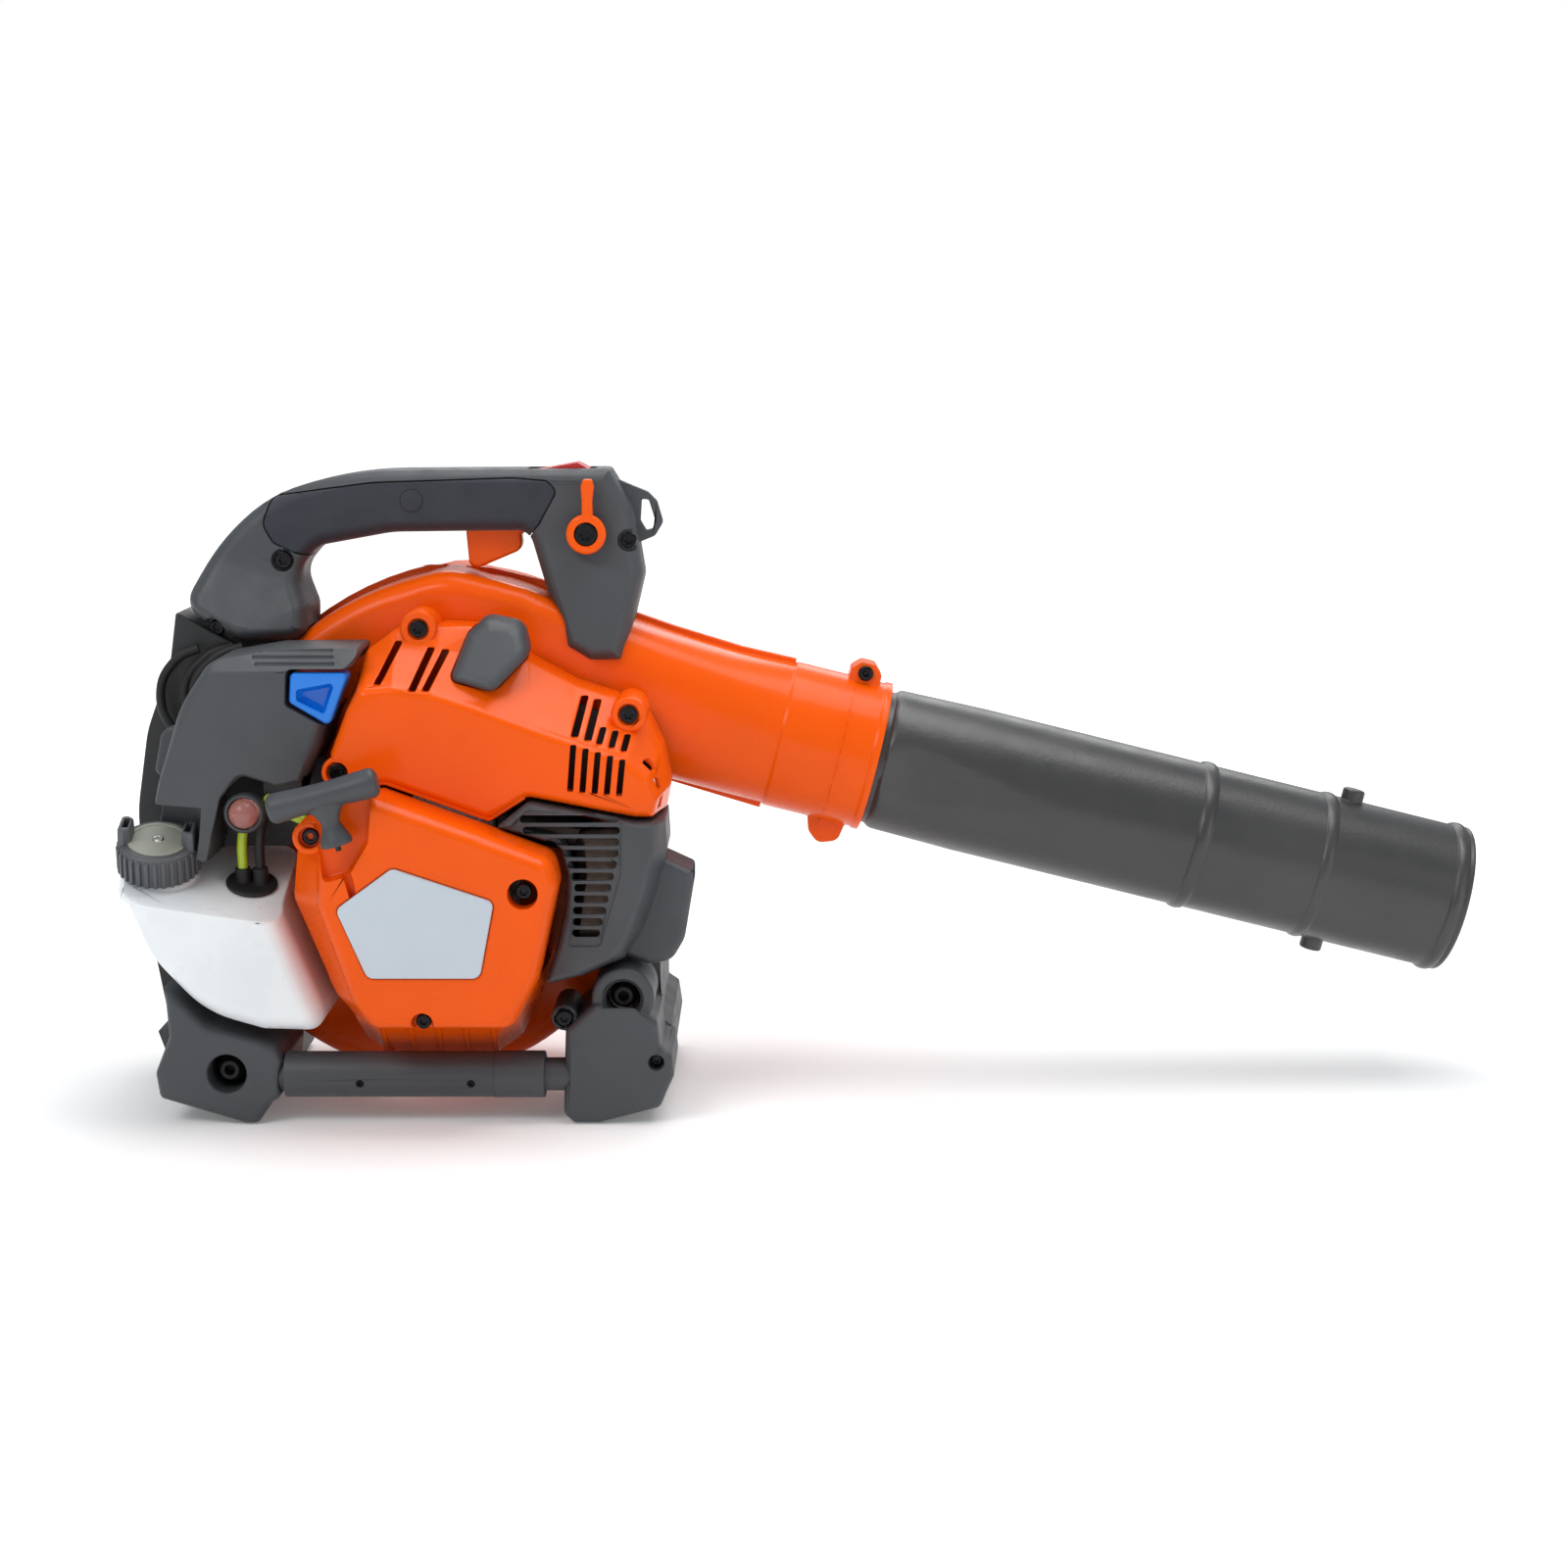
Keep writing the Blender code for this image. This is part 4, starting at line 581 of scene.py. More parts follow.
def finish(name, edge=EDGE, slot=None, body=None):
    """The finished piece made from a draft."""
    shape = DRAFTS.pop(name)
    mesh = shape.data
    bpy.data.objects.remove(shape)
    put(name, mesh, edge, slot, body)


def make(name, bm, edge=EDGE, slot=None, body=None):
    """A piece that needs no Boolean."""
    draft(name, bm)
    finish(name, edge, slot, body)


def fillet(y0, y1, step, count=6):
    """Levels of a rounded edge: from inset 0 at y0 to inset step at y1."""
    quarter = 0.5 * math.pi / count
    turns = [k * quarter for k in range(count + 1)]
    return [(y0 + (y1 - y0) * math.sin(a), step * (1.0 - math.cos(a))) for a in turns]


def smooth_rows(rows, per_span):
    """Rows of numbers with smooth rows between them."""
    ends = [rows[0], *rows, rows[-1]]
    found = []
    for a, b, c, d in zip(ends, ends[1:], ends[2:], ends[3:]):
        found += [[spline(*four, k / per_span) for four in zip(a, b, c, d)] for k in range(per_span)]
    return [*found, rows[-1]]


# ---------------------------------------------------------------- fan housing and tube
def scroll_curve(grow=0.0, steps=72):
    """Spiral of the volute, which widens from 98 mm to 170 mm as it goes round."""
    points = []
    for k in range(steps + 1):
        t = k / steps
        angle = math.radians(42.0 - 307.8 * t)
        radius = 98.0 + 9.9 * t + 62.1 * t * t + grow
        points.append((radius * math.cos(angle), CRANK_Z + radius * math.sin(angle)))
    return points


def scroll(grow=0.0):
    """Volute with its throat, larger by grow on every side."""
    spiral = scroll_curve(grow)
    back = [spiral[-8], spiral[-1], (22, 311 + grow), (52, 302.5 + grow), (88 + grow, 285 + grow)]
    tail = [(p.x, p.z) for p in curve([(x, 0, z) for x, z in back], 5)[6:]]
    half_depth = 50.0 + grow
    far_side = fillet(half_depth - 13.0, half_depth, 11.0)
    levels = [*((-y, step) for y, step in reversed(far_side)), *far_side]
    return stack([*spiral, *tail, (93 + grow, 225)], [(SPLIT_Y + y, step) for y, step in levels])


def duct(grow=0.0):
    """Duct from the volute to the sleeve: boxy at first, then round, with a step round its mouth.

    A section is (distance along the tube, half width, height above, height below, squareness).
    """
    sections = [
        (-45.0, 49.5, 48.0, 33.0, 5.0), (0.0, 49.0, 46.5, 36.0, 4.4), (40.0, 47.0, 42.8, 37.6, 3.4),
        (80.0, 44.0, 40.6, 39.8, 2.5), (112.0, 41.4, 41.3, 41.3, 2.0),
    ]
    mouth = [(147.0, 41.2)] if grow else [(113.2, 42.3), (164.4, 42.3), (165.4, 43.2), (SLEEVE_END_S, 43.2)]
    rows = [*smooth_rows(sections, 4), *[(s, r, r, r, 2.0) for s, r in mouth]]
    rings = []
    for s, half_width, up_side, down_side, power in rows:
        ring = []
        for k in range(64):
            c, z = math.cos(math.tau * k / 64), math.sin(math.tau * k / 64)
            y = math.copysign(abs(c) ** (2.0 / power), c) * (half_width + grow)
            height = math.copysign(abs(z) ** (2.0 / power), z) * ((up_side if z > 0 else down_side) + grow)
            ring.append(tube_point(s) + Vector((0.0, y, 0.0)) + TUBE_UP * height)
        rings.append(ring)
    return loft(rings)


def housing_rim():
    """Flange where the two halves meet, standing proud of the volute and the duct."""
    half = proud = 3.0
    over = ((0, 46.5), (40, 42.8), (80, 40.6), (112, 41.2))
    under = ((112, 41.4), (80, 39.8), (40, 37.6), (16, 36.8))
    top = [tube_point(s) + TUBE_UP * (h + proud) for s, h in over]
    foot = [tube_point(s) - TUBE_UP * (h + proud) for s, h in under]
    points = [*scroll_curve(proud), (22, 311 + proud), (50, 304.3 + proud)]
    points += [(p.x, p.z) for p in (*top, *foot)]
    return prism(points, SPLIT_Y - half, SPLIT_Y + half)


def clamp_lug(y0, y1):
    spot = tube_point(152.0) + TUBE_UP * 45.5
    boss = outline([(-9, -6), (9, -6), (9, 2, 3), (4, 7, 3), (-4, 7, 3), (-9, 2, 3)], 2)
    return loft([[spot + TUBE_DIR * x + TUBE_UP * z + Vector((0, y, 0)) for x, z in boss] for y in (y0, y1)])


def housing_half(name, side):
    """The half of the housing on one side (-1 or 1) of SPLIT_Y."""
    half = draft(name, scroll())
    join(half, duct(), housing_rim())
    cut(half, scroll(-WALL), duct(-WALL))
    cut(half, cylinder(tube_point(99.0), TUBE_DIR, 38.7, 90.0, 32))
    join(half, clamp_lug(-11.0, 11.0))
    tongue = outline([(139, -39.6), (162, -39.6), (160, -52, 6), (149, -56, 6), (142, -50, 8)], 2)
    tip = [
        [TUBE_START + TUBE_DIR * s + TUBE_UP * h + Vector((0, y, 0)) for s, h in tongue] for y in (-6.0, 6.0)
    ]
    join(half, loft(tip))
    cut(half, cylinder(tube_point(152.0) + TUBE_UP * 46.5 + Vector((0, -14, 0)), ALONG_CRANK, 2.6, 28.0, 10))
    near, far = sorted((SPLIT_Y + side * 0.15, SPLIT_Y + side * 90.0))
    keep(half, block(-220, 300, near, far, 0, 340))
    return half


def build_fan_housing():
    cut(housing_half("fan_housing_front", -1), cylinder((0, -42, CRANK_Z), ALONG_CRANK, 30.0, 12.0, 24))
    cut(housing_half("fan_housing_rear", 1), cylinder((0, 55, CRANK_Z), ALONG_CRANK, 64.0, 12.0, 32))
    finish("fan_housing_front", 0.7)
    finish("fan_housing_rear", 0.7)


def tube_rings(profile, steps=72):
    """Round tube whose sides are flat beside the sleeve: profile is (s, radius, flat)."""
    rings = []
    for s, radius, flat in profile:
        ring = []
        for k in range(steps):
            angle = math.tau * k / steps
            y = radius * math.cos(angle)
            y = math.copysign(min(abs(y), radius - flat), y)
            ring.append(tube_point(s) + Vector((0, y, 0)) + TUBE_UP * (radius * math.sin(angle)))
        rings.append(ring)
    return rings


def bead(s, radius, height, half):
    """Rounded ring round the tube."""
    return [
        (s + half * math.cos(a), radius + height * math.sin(a), 0.0)
        for a in (math.pi * (1.0 - k / 8) for k in range(9))
    ]


def build_tube():
    """Tube with a flat on each side that fades out, three beads and two pins."""
    r, neck, start, end = 41.75, 38.3, SLEEVE_END_S, TUBE_END_S
    outside = [(start - 42, neck, 0.0), (start + 3, neck, 0.0), (start + 5, 39.9, 0.5)]
    outside += [(start + 7, 40.6, 2.0)]
    for k in range(1, 15):
        t = k / 14
        flat = 6.0 * (1 - t) ** 1.4 * min(1, 5 * t + 0.35)
        outside.append((start + 7 + 95 * t, 40.6 + (r - 40.6) * min(1.0, 2.0 * t), flat))
    outside += bead(357.5, r, 1.6, 4.0)
    outside += [(s, r, 0.0) for s in (380, 404)]
    outside += bead(429.0, r, 1.2, 3.2)
    outside += [(470, r, 0.0), *bead(end - 7, r, 1.8, 3.6), (end - 1.2, r + 0.6, 0.0), (end, r - 0.2, 0.0)]
    tube = draft("blower_tube", loft(tube_rings(outside)))
    pin = [(0.0, -1.0), (6.4, -1.0), (6.4, 5.4), (5.8, 6.3), (4.6, 6.6), (0.0, 6.6)]
    for side in (-1, 1):
        join(tube, turned(pin, tube_point(442) + TUBE_UP * side * r, TUBE_UP * side, 12))
    walls = [(s, radius - 2.4, flat) for s, radius, flat in outside[3:18]]
    inside = [(start - 46, neck - 2.2, 0.0), (start, neck - 2.2, 0.0), *walls, (end + 4, r - 2.4, 0.0)]
    cut(tube, loft(tube_rings(inside)))
    finish("blower_tube", 0.4)


# ---------------------------------------------------------------- covers on the starter side
def cover_rings(points, levels, steps=2):
    """Rings of a cover: points are (back x, back z, front x, front z, radius), levels (y, share, inset)."""
    rings = []
    for y, share, step in levels:
        flat = [(bx + (fx - bx) * share, bz + (fz - bz) * share, r) for bx, bz, fx, fz, r in points]
        rings.append([(x, y, z) for x, z in outline(inset(flat, step), steps)])
    return rings


COVER_POINTS = [
    (-56, 223, -54, 224, 3), (-48, 250, -45, 247, 12), (-39, 275, -38, 260, 6), (-24, 286, -20, 261, 10),
    (2, 289, 2, 258, 16), (26, 288, 28, 249, 10), (50, 270, 52, 240, 14), (74, 257, 75, 232, 16),
    (95, 250, 90, 227, 8), (112, 243, 105, 222, 6), (122, 222, 116, 212, 6), (126, 202, 121, 200, 6),
    (124, 189, 118, 189.5, 2), (108, 189, 108, 189.5, 3), (51, 200, 51, 200.5, 6), (31, 187.6, 31, 187.6, 6),
    (-24, 207.6, -24, 207.6, 4), (-50, 205.5, -50, 205.5, 3), (-54, 214, -53, 214, 6),
]
POD_OUTLINE = [(9, 262, 4), (33, 256, 7), (51, 274, 9), (47, 291, 9), (27, 295, 8), (17, 285, 7)]
STARTER_POINTS = [
    (-48, 203, -44, 203, 5), (-25, 206, -25, 206, 4), (30, 186, 30, 186, 6), (66, 172, 66, 172, 10),
    (69, 158, 69, 158, 9), (58, 108, 58, 108, 12), (45, 80, 44, 81, 10), (-38, 79, -30, 81, 9),
    (-52, 94, -40, 94, 12), (-74, 148, -58.5, 148, 12), (-71, 178, -57, 176, 9),
]
BADGE_OUTLINE = [(-17, 169, 5), (36, 151, 4), (28, 110, 5), (-31, 110, 5), (-47, 147, 4)]
GUARD_POINTS = [
    (34, 184.6, 34, 184.6, 1), (51.5, 198.4, 51.5, 198.4, 5), (58, 197.2, 58, 197.2, 4),
    (108, 187.6, 108, 187.6, 8), (124, 187.6, 119, 187.6, 2), (125, 170, 119, 171, 8),
    (119, 147, 113, 148, 10), (112, 127, 106, 128, 8), (101, 110, 97, 113, 6), (80, 101, 78, 104, 6),
    (58, 96, 59, 99, 2), (66, 120, 66, 120, 10), (71, 143, 71, 143, 10), (72, 160, 72, 160, 8),
    (68, 175, 68, 175, 8),
]


def slanted_slot(top, foot, width):
    """Slot through a cover from one (x, z) point to another."""
    half, radius = 0.5 * width, 0.9
    ends = [(x + side * half, z, radius) for (x, z), side in ((foot, -1), (foot, 1), (top, 1), (top, -1))]
    return prism(ends, -115, -60, 1)


def boss(x, z, radius, y0, y1):
    """Round screw boss with a rounded rim."""
    rim = [(radius - 0.8, y1), (radius, y1 + 1.4), (radius, y0)]
    return turned(rim, (x, 0, z), ALONG_CRANK, 16)


def build_engine_cover():
    """Cover with screw bosses and slanted slots, a dark baffle behind the slots and a sill below."""
    levels = [(-39.6, 0.0, 0.0), (-66.0, 0.0, 0.0), (-69.0, 0.06, 0.0), (-80.0, 0.38, 0.0)]
    levels += [(-101.0, 0.93, 0.0), (-104.0, 1.0, 0.2), (-106.6, 1.0, 1.2), (-108.3, 1.0, 2.8)]
    levels += [(-109.0, 1.0, 5.0)]
    cover = draft("engine_cover", loft(cover_rings(COVER_POINTS, levels)))
    bosses = ((-9.5, 287.5, 10.0, -75.0), (104.3, 242.5, 9.6, -87.0), (-50, 214, 8.6, -107.5))
    for x, z, radius, front_y in bosses:
        join(cover, boss(x, z, radius, -48, front_y))
    hollow = [(-36.0, 0.0, WALL), (-65.0, 0.0, WALL), (-78.5, 0.38, WALL), (-101.5, 1.0, WALL)]
    hollow += [(-106.5, 1.0, 6.5)]
    cut(cover, loft(cover_rings(COVER_POINTS, hollow, 1)))
    for x, z, radius, front_y in bosses:
        join(cover, boss(x, z, 6.6, -48, front_y + 3.0))
        cut(cover, cylinder((x, front_y - 20.0, z), ALONG_CRANK, 5.8, 22.4, 12))
    slots = [((-20, 281), (-29, 260), 4.0), ((-2, 278), (-10, 257), 4.0), ((6, 277), (-3, 257), 4.0)]
    slots += [((80, 251), (76, 232), 4.0), ((87, 249), (83, 230), 4.0)]
    slots += [((91, 236), (89, 228), 3.4), ((97.5, 234), (95.5, 226), 3.4), ((104, 232), (102, 224), 3.4)]
    slots += [((76 + 6.5 * k, 229.0 - 2.0 * k), (74 + 6.5 * k, 204 - 0.6 * k), 3.2) for k in range(5)]
    for top, foot, width in slots:
        cut(cover, slanted_slot(top, foot, width))
    cut(cover, prism([(-34, 175), (48, 175), (48, 203), (30, 213), (-34, 213)], -106.5, -30))
    start, end = INTAKE_PATH
    cut(cover, rod(start, end, 13.2, 14), prism(inset(POD_OUTLINE, -0.4), -120, -50, 2))
    for z in (193, 203, 213):
        cut(cover, block(112, 135, -98, -88, z, z + 6, 1.5))
    finish("engine_cover", 0.6)
    baffle = [(68, 196), (118, 196), (112, 230), (78, 246), (66, 240)]
    make("cover_baffle", prism(baffle, -66.0, -64.0), 0.3, "black_steel")
    upper = [(50, 207), (31, 196), (-24, 216), (-48, 213)]
    lower = [(-48, 204.2, 2), (-25, 207.2, 3), (30.5, 187.2, 3), (50, 199.5, 2)]
    levels = [(-107.0, 0.8), (-106.4, 0.2), (-105.6, 0.0), (-98.0, 0.0)]
    make("cover_sill", stack([*lower, *upper], levels, 2), 0.3, "orange_plastic")


def build_spark_plug_cover():
    """Cover of the plug connector, following the slope of the engine cover."""
    rings = []
    for height, step in ((-30.0, 0.0), (1.0, 0.0), (4.5, 0.7), (7.0, 2.3), (8.4, 4.4), (9.0, 7.0)):
        corners = outline(inset(POD_OUTLINE, step), 2)
        rings.append([(x, -70.0 - 34.0 * (289.0 - z) / 40.0 - height, z) for x, z in corners])
    pod = draft("spark_plug_cover", loft(rings))
    cut(pod, tilted(cylinder((0, CRANK_Y, CRANK_Z + 100), (0, 0, 1), 9.6, 29.0, 14)))
    cut(pod, block(5, 55, -60, -30, 250, 300))
    finish("spark_plug_cover", 0.4)


def build_starter_housing():
    """Recoil housing with a pocket for the pull handle, screw seats and a blank badge."""
    levels = [(-106.0, 0.0, 0.0), (-112.0, 0.0, 0.0)]
    levels += [(y, min(1.0, (-112.0 - y) / 22.0), step) for y, step in fillet(-131.0, -143.0, 7.0, 7)]
    housing = draft("starter_housing", loft(cover_rings(STARTER_POINTS, levels)))
    join(housing, boss(-61, 184, 9.0, -112, -137))
    hollow = [(-100.0, 0.0, WALL), (-112.0, 0.0, WALL), (-126.0, 0.7, 3.5), (-131.0, 0.9, 9.0)]
    cut(housing, loft(cover_rings(STARTER_POINTS, hollow, 1)))
    cut(housing, cylinder((0, -140.0, CRANK_Z), ALONG_CRANK, 31.0, 20.0, 24))
    pocket = [(-54, 160, 4), (-40, 164, 6), (-29, 182, 5), (-27, 204, 4), (-30, 240), (-66, 240)]
    cut(housing, stack(pocket, [(-150, 0.0), (-135.4, 1.0), (-134.0, 2.6)], 2))
    cut(housing, cylinder((-44, -140, 178), (0.26, 0, -0.966), 3.6, 30, 10))
    for x, z, radius in ((51, 155, 8.0), (-3, 85, 6.0), (-61, 184, 5.8)):
        cut(housing, cylinder((x, -160, z), ALONG_CRANK, radius, 29.0, 14))
    cut(housing, stack(BADGE_OUTLINE, [(-150, -0.5), (-142.0, -0.5)]))
    finish("starter_housing", 0.6)
    make("starter_badge", stack(BADGE_OUTLINE, [(-142.3, 0.0), *fillet(-143.6, -144.6, 1.2, 4)]), 0.0)


def along(line, z):
    """X on a polyline of (z, x) points, highest first."""
    for (z0, x0), (z1, x1) in zip(line, line[1:]):
        if z >= z1:
            return x0 + (x1 - x0) * (z0 - z) / (z0 - z1)
    return line[-1][1]


def build_muffler_guard():
    """Guard with a recess whose slots end at a line on the left and a line on the right."""
    levels = [(-46.0, 0.0, 0.0), (-94.0, 0.0, 0.0), (-106.0, 0.8, 0.0)]
    levels += [(-109.5, 1.0, 0.4), (-111.6, 1.0, 1.6), (-112.5, 1.0, 3.4)]
    guard = draft("muffler_guard", loft(cover_rings(GUARD_POINTS, levels)))
    hollow = [(-40.0, 0.0, WALL), (-94.0, 0.0, WALL), (-107.5, 1.0, WALL), (-110.0, 1.0, 5.5)]
    cut(guard, loft(cover_rings(GUARD_POINTS, hollow, 1)))
    left = [(194, 50), (186, 42), (177, 60), (167, 70), (152, 74.5), (140, 73.5), (122, 73)]
    right = [(194, 101), (183, 102), (176, 101.5), (165, 100), (152, 97), (140, 94), (122, 89)]
    recess = [
        (40, 183, 2), (51, 194.5, 3), (101.5, 191, 4), (101, 160, 30), (89.5, 120.5, 3), (72.5, 120.5, 2),
        (75, 160, 14), (63, 176, 8)
    ]
    cut(guard, stack(recess, [(-120.0, 0.0), (-111.4, 0.0)], 2))
    for k in range(11):
        z = 189.6 - 6.2 * k
        x0, x1 = along(left, z) + 1.6, along(right, z) - 1.6
        low, high = z - 2.0, z + 2.0
        cut(guard, prism([(x0, low, 1.6), (x1, low, 1.6), (x1, high, 1.6), (x0, high, 1.6)], -120, -104, 1))
    cut(guard, block(105, 140, -91, -61, 120, 158))
    start = tilted_point(Vector((20, CRANK_Y, CRANK_Z + 48)))
    end = tilted_point(Vector((75, CRANK_Y, CRANK_Z + 48)))
    cut(guard, rod(start, end, 11.5, 12))
    finish("muffler_guard", 0.4)


def build_muffler_outlet():
    """Hooded deflector that takes the exhaust out towards the nozzle side."""
    points = [
        (98, 112, 3), (114, 106, 6), (127, 108, 10), (134, 120, 16), (139, 150, 8), (139, 158, 3),
        (124, 165, 4), (108, 165), (104, 146), (98, 126)
    ]
    levels = [*reversed(fillet(-88.0, -94.0, 4.0, 6)), (-60.0, 0.0), (-56.0, 3.0)]
    hood = draft("muffler_outlet", stack(points, levels))
    cut(hood, prism([(110, 118), (122, 120), (150, 130), (150, 156), (124, 160), (110, 160)], -90, -62))
    finish("muffler_outlet")


INNER_X, INNER_Z = 0.955, 0.965  # the inside of the shroud as a share of its outside


def build_engine_shroud():
    """Open trough under the crankcase, with cooling ribs on its sloping belly."""
    back = [
        (-69, 176, 1), (-71, 148, 8), (-56, 96, 12), (-44, 63, 10), (-21, 47, 10), (21, 47, 10), (44, 63, 10),
        (55, 88, 10), (58, 104, 1)
    ]
    front = [
        (-69, 176, 1), (-71, 148, 8), (-56, 98, 10), (-45, 83, 6), (-36, 79, 4), (38, 79, 3), (44, 81, 3),
        (50, 90, 6), (57, 104, 1)
    ]
    rings = []
    for y, line in ((-39.6, back), (-74.0, back), (-105.4, front)):
        inner = [(x * INNER_X, CRANK_Z + (z - CRANK_Z) * INNER_Z, r) for x, z, r in reversed(line)]
        rings.append([(x, y, z) for x, z in outline([*line, *inner], 2)])
    shroud = draft("engine_shroud", loft(rings))
    for x in (-30, -15, 0, 15, 30):
        belly = [(-70.0, 50.0), (-74.0, 44.5), (-101.0, 74.0), (-101.0, 80.0)]
        join(shroud, loft([[(side, y, z) for y, z in belly] for side in (x - 1.4, x + 1.4)]))
    finish("engine_shroud")


# ---------------------------------------------------------------- air filter side
FILTER_COVER = [
    (-38.5, 279, 2), (-52, 279, 6), (-86, 278.5, 10), (-118, 273, 14), (-134, 249, 60), (-147, 208, 8),
    (-153, 180, 4), (-138, 170, 4), (-122, 163, 3), (-112, 199, 5), (-102, 211, 5), (-83, 205, 6),
    (-68.5, 208, 3), (-60, 226, 3), (-57, 237, 3),
]
CHOKE_WINDOW = [(-75.5, 269, 2.4), (-20, 269), (-34, 238.4), (-55, 238.4), (-76.5, 250.5, 2.4)]
CAP_DIR = Vector((0.07, -0.37, 0.925)).normalized()
CAP_BASE = Vector((-150.3, -90, 160.5))
CAP_R = 22.5
CAP_RIBS = 30
TOP_DIR = Vector((0.13, -0.33, 0.93)).normalized()
GROMMET = Vector((-101, -88, 148.9))


def across(x0, x1, first, second):
    """Solid between two outlines in the YZ plane, one at x0 and one at x1."""
    return loft([[(x, y, z) for y, z in ring] for x, ring in ((x0, first), (x1, second))])


def build_air_filter_cover():
    """Hood with a sloping top, a crease across its front and three grooves along its top."""
    levels = [(-47.0, 0.0), (-92.0, 0.0), *fillet(-97.0, -109.0, 6.0, 8)]
    cover = draft("air_filter_cover", stack(FILTER_COVER, levels, 2))
    top = [(-125, 268), (-109.6, 268), (-86, 285), (-125, 290)]
    cut(cover, across(-170, -20, top, top))
    rear = [(-125, 243), (-109.3, 243), (-100, 140), (-125, 140)]
    front = [(-125, 222), (-109.3, 222), (-102, 140), (-125, 140)]
    cut(cover, across(-170, -20, rear, front))
    hollow = [
        (-42, 276), (-86, 275), (-116, 270, 8), (-131, 247, 20), (-141, 214), (-112, 207), (-100, 214),
        (-70, 211), (-62, 226), (-60, 237), (-42, 262)
    ]
    cut(cover, stack(hollow, [(-40.0, 0.0), (-82.0, 0.0), (-92.0, 7.0)], 2))
    cut(cover, stack(CHOKE_WINDOW, [(-120, -0.4), (-60, -0.4)], 1))
    for z, x0, x1 in ((278.4, -97, -53), (275.2, -95, -52), (272.0, -93, -51)):
        y = -109.6 + (z - 268.0) * 23.6 / 17.0
        cut(cover, rod((x0, y, z), (x1, y, z), 1.1, 8))
    bay = [(-119, 195), (-119, 158), (-60, 158), (-60, 211), (-99, 213.5), (-112, 203)]
    cut(cover, prism(bay, -104, -58))
    cut(cover, cylinder(CAP_BASE - CAP_DIR * 4.0, CAP_DIR, CAP_R + 1.5, 43.0, 20))
    cut(cover, rod(*INTAKE_PATH, 13.2, 14))
    finish("air_filter_cover", 0.6)
    tab = [(-158, 208, 3), (-156, 205, 3), (-146, 205), (-141, 232), (-150, 232, 4), (-154, 228, 4)]
    levels = [(-60.0, 1.6), (-59.0, 0.4), (-57.6, 0.0), (-50.0, 0.0)]
    make("filter_latch", stack(tab, levels, 2), 0.3, "grey_plastic")


def build_intake_panel():
    """Dark panel behind the primer and the fuel lines."""
    panel = [(-121, 166), (-62, 166), (-62, 214), (-100, 216), (-121, 204)]
    make("intake_panel", prism(panel, -60.0, -57.0), 0.3, "black_steel")


def build_choke_lever():
    """Blue lever with a finger recess, open towards its lower edge."""
    body = [(-74, 267.6, 3), (-43, 267.6, 3), (-53, 240.6, 3), (-56, 240, 2), (-75, 251.5, 3)]
    levels = [(-90.0, 0.0), (-105.4, 0.0), *fillet(-105.6, -107.5, 1.6, 4)]
    lever = draft("choke_lever", stack(body, levels, 2))
    dish = [(-71, 258.5, 2), (-50, 262.5, 2), (-56, 245, 2), (-71, 252.5, 2)]
    cut(lever, stack(dish, [(-112.0, 0.0), (-101.5, 0.5), (-99.2, 2.6)], 2))
    cut(lever, block(-80, -30, -96, -80, 230, 258))
    finish("choke_lever", 0.4)


def build_primer():
    """Primer ring with its soft bulb."""
    centre = Vector((-101, -96, 191.5))
    ring = [(11.0, 0.0), (11.0, 7.2), (10.4, 8.8), (9.8, 9.5), (8.9, 9.5), (8.6, 9.0), (8.6, 2.5), (4.0, 2.5)]
    make("primer_base", ring_solid([*ring, (4.0, 0.0)], centre, TO_STARTER, 18), 0.0)
    radius, rise, foot = 8.0, 7.6, 9.0
    angles = [math.pi * k / 20 for k in range(1, 10)]
    dome = [(radius * math.cos(a), foot + rise * math.sin(a)) for a in angles]
    dome = [(radius, foot - 2.0), (radius, foot), *dome, (0.0, foot + rise)]
    make("primer_bulb", turned(dome, centre, TO_STARTER, 16), 0.0)


# ---------------------------------------------------------------- fuel tank
TANK = [
    (-167, 195), (-167, 152, 10), (-161, 138, 30), (-151, 114, 55), (-123, 84, 55), (-92, 75, 14),
    (-60, 74, 8), (-60, 88, 6), (-82, 142, 12), (-82, 195),
]


def above_tank(height):
    """Everything over the tank's sloping top, at a height from the seat of the grommet."""
    turn = frame_of(TOP_DIR)
    base = GROMMET + TOP_DIR * height
    side = ((-120, -120), (120, -120), (120, 120), (-120, 120))
    return loft([[base + turn @ Vector((x, y, h)) for x, y in side] for h in (0.0, 90.0)])


def build_fuel_tank():
    """Blow-moulded tank with broad rounded edges, a filler neck and a seat for the grommet."""
    levels = [*reversed(fillet(-107.0, -122.5, 11.0, 9)), *fillet(-54.0, -44.0, 8.0, 6)]
    tank = draft("fuel_tank", stack(TANK, levels, 2))
    cut(tank, above_tank(0.5))
    collar = [(22.5, -15.0), (21.0, -6.0), (19.8, -3.4), (19.2, -2.6), (17.6, -2.2), (17.6, 11.0)]
    join(tank, turned(collar, CAP_BASE, CAP_DIR, 20))
    cut(tank, cylinder(CAP_BASE - CAP_DIR * 18.0, CAP_DIR, 14.4, 42.0, 20))
    cut(tank, cylinder(GROMMET - TOP_DIR * 12, TOP_DIR, 9.4, 30.0, 16))
    finish("fuel_tank", 0.9)


def cap_place(x, y, height):
    """Point over the seat of the cap, in the cap's own directions."""
    return CAP_BASE + frame_of(CAP_DIR) @ Vector((x, y, height))


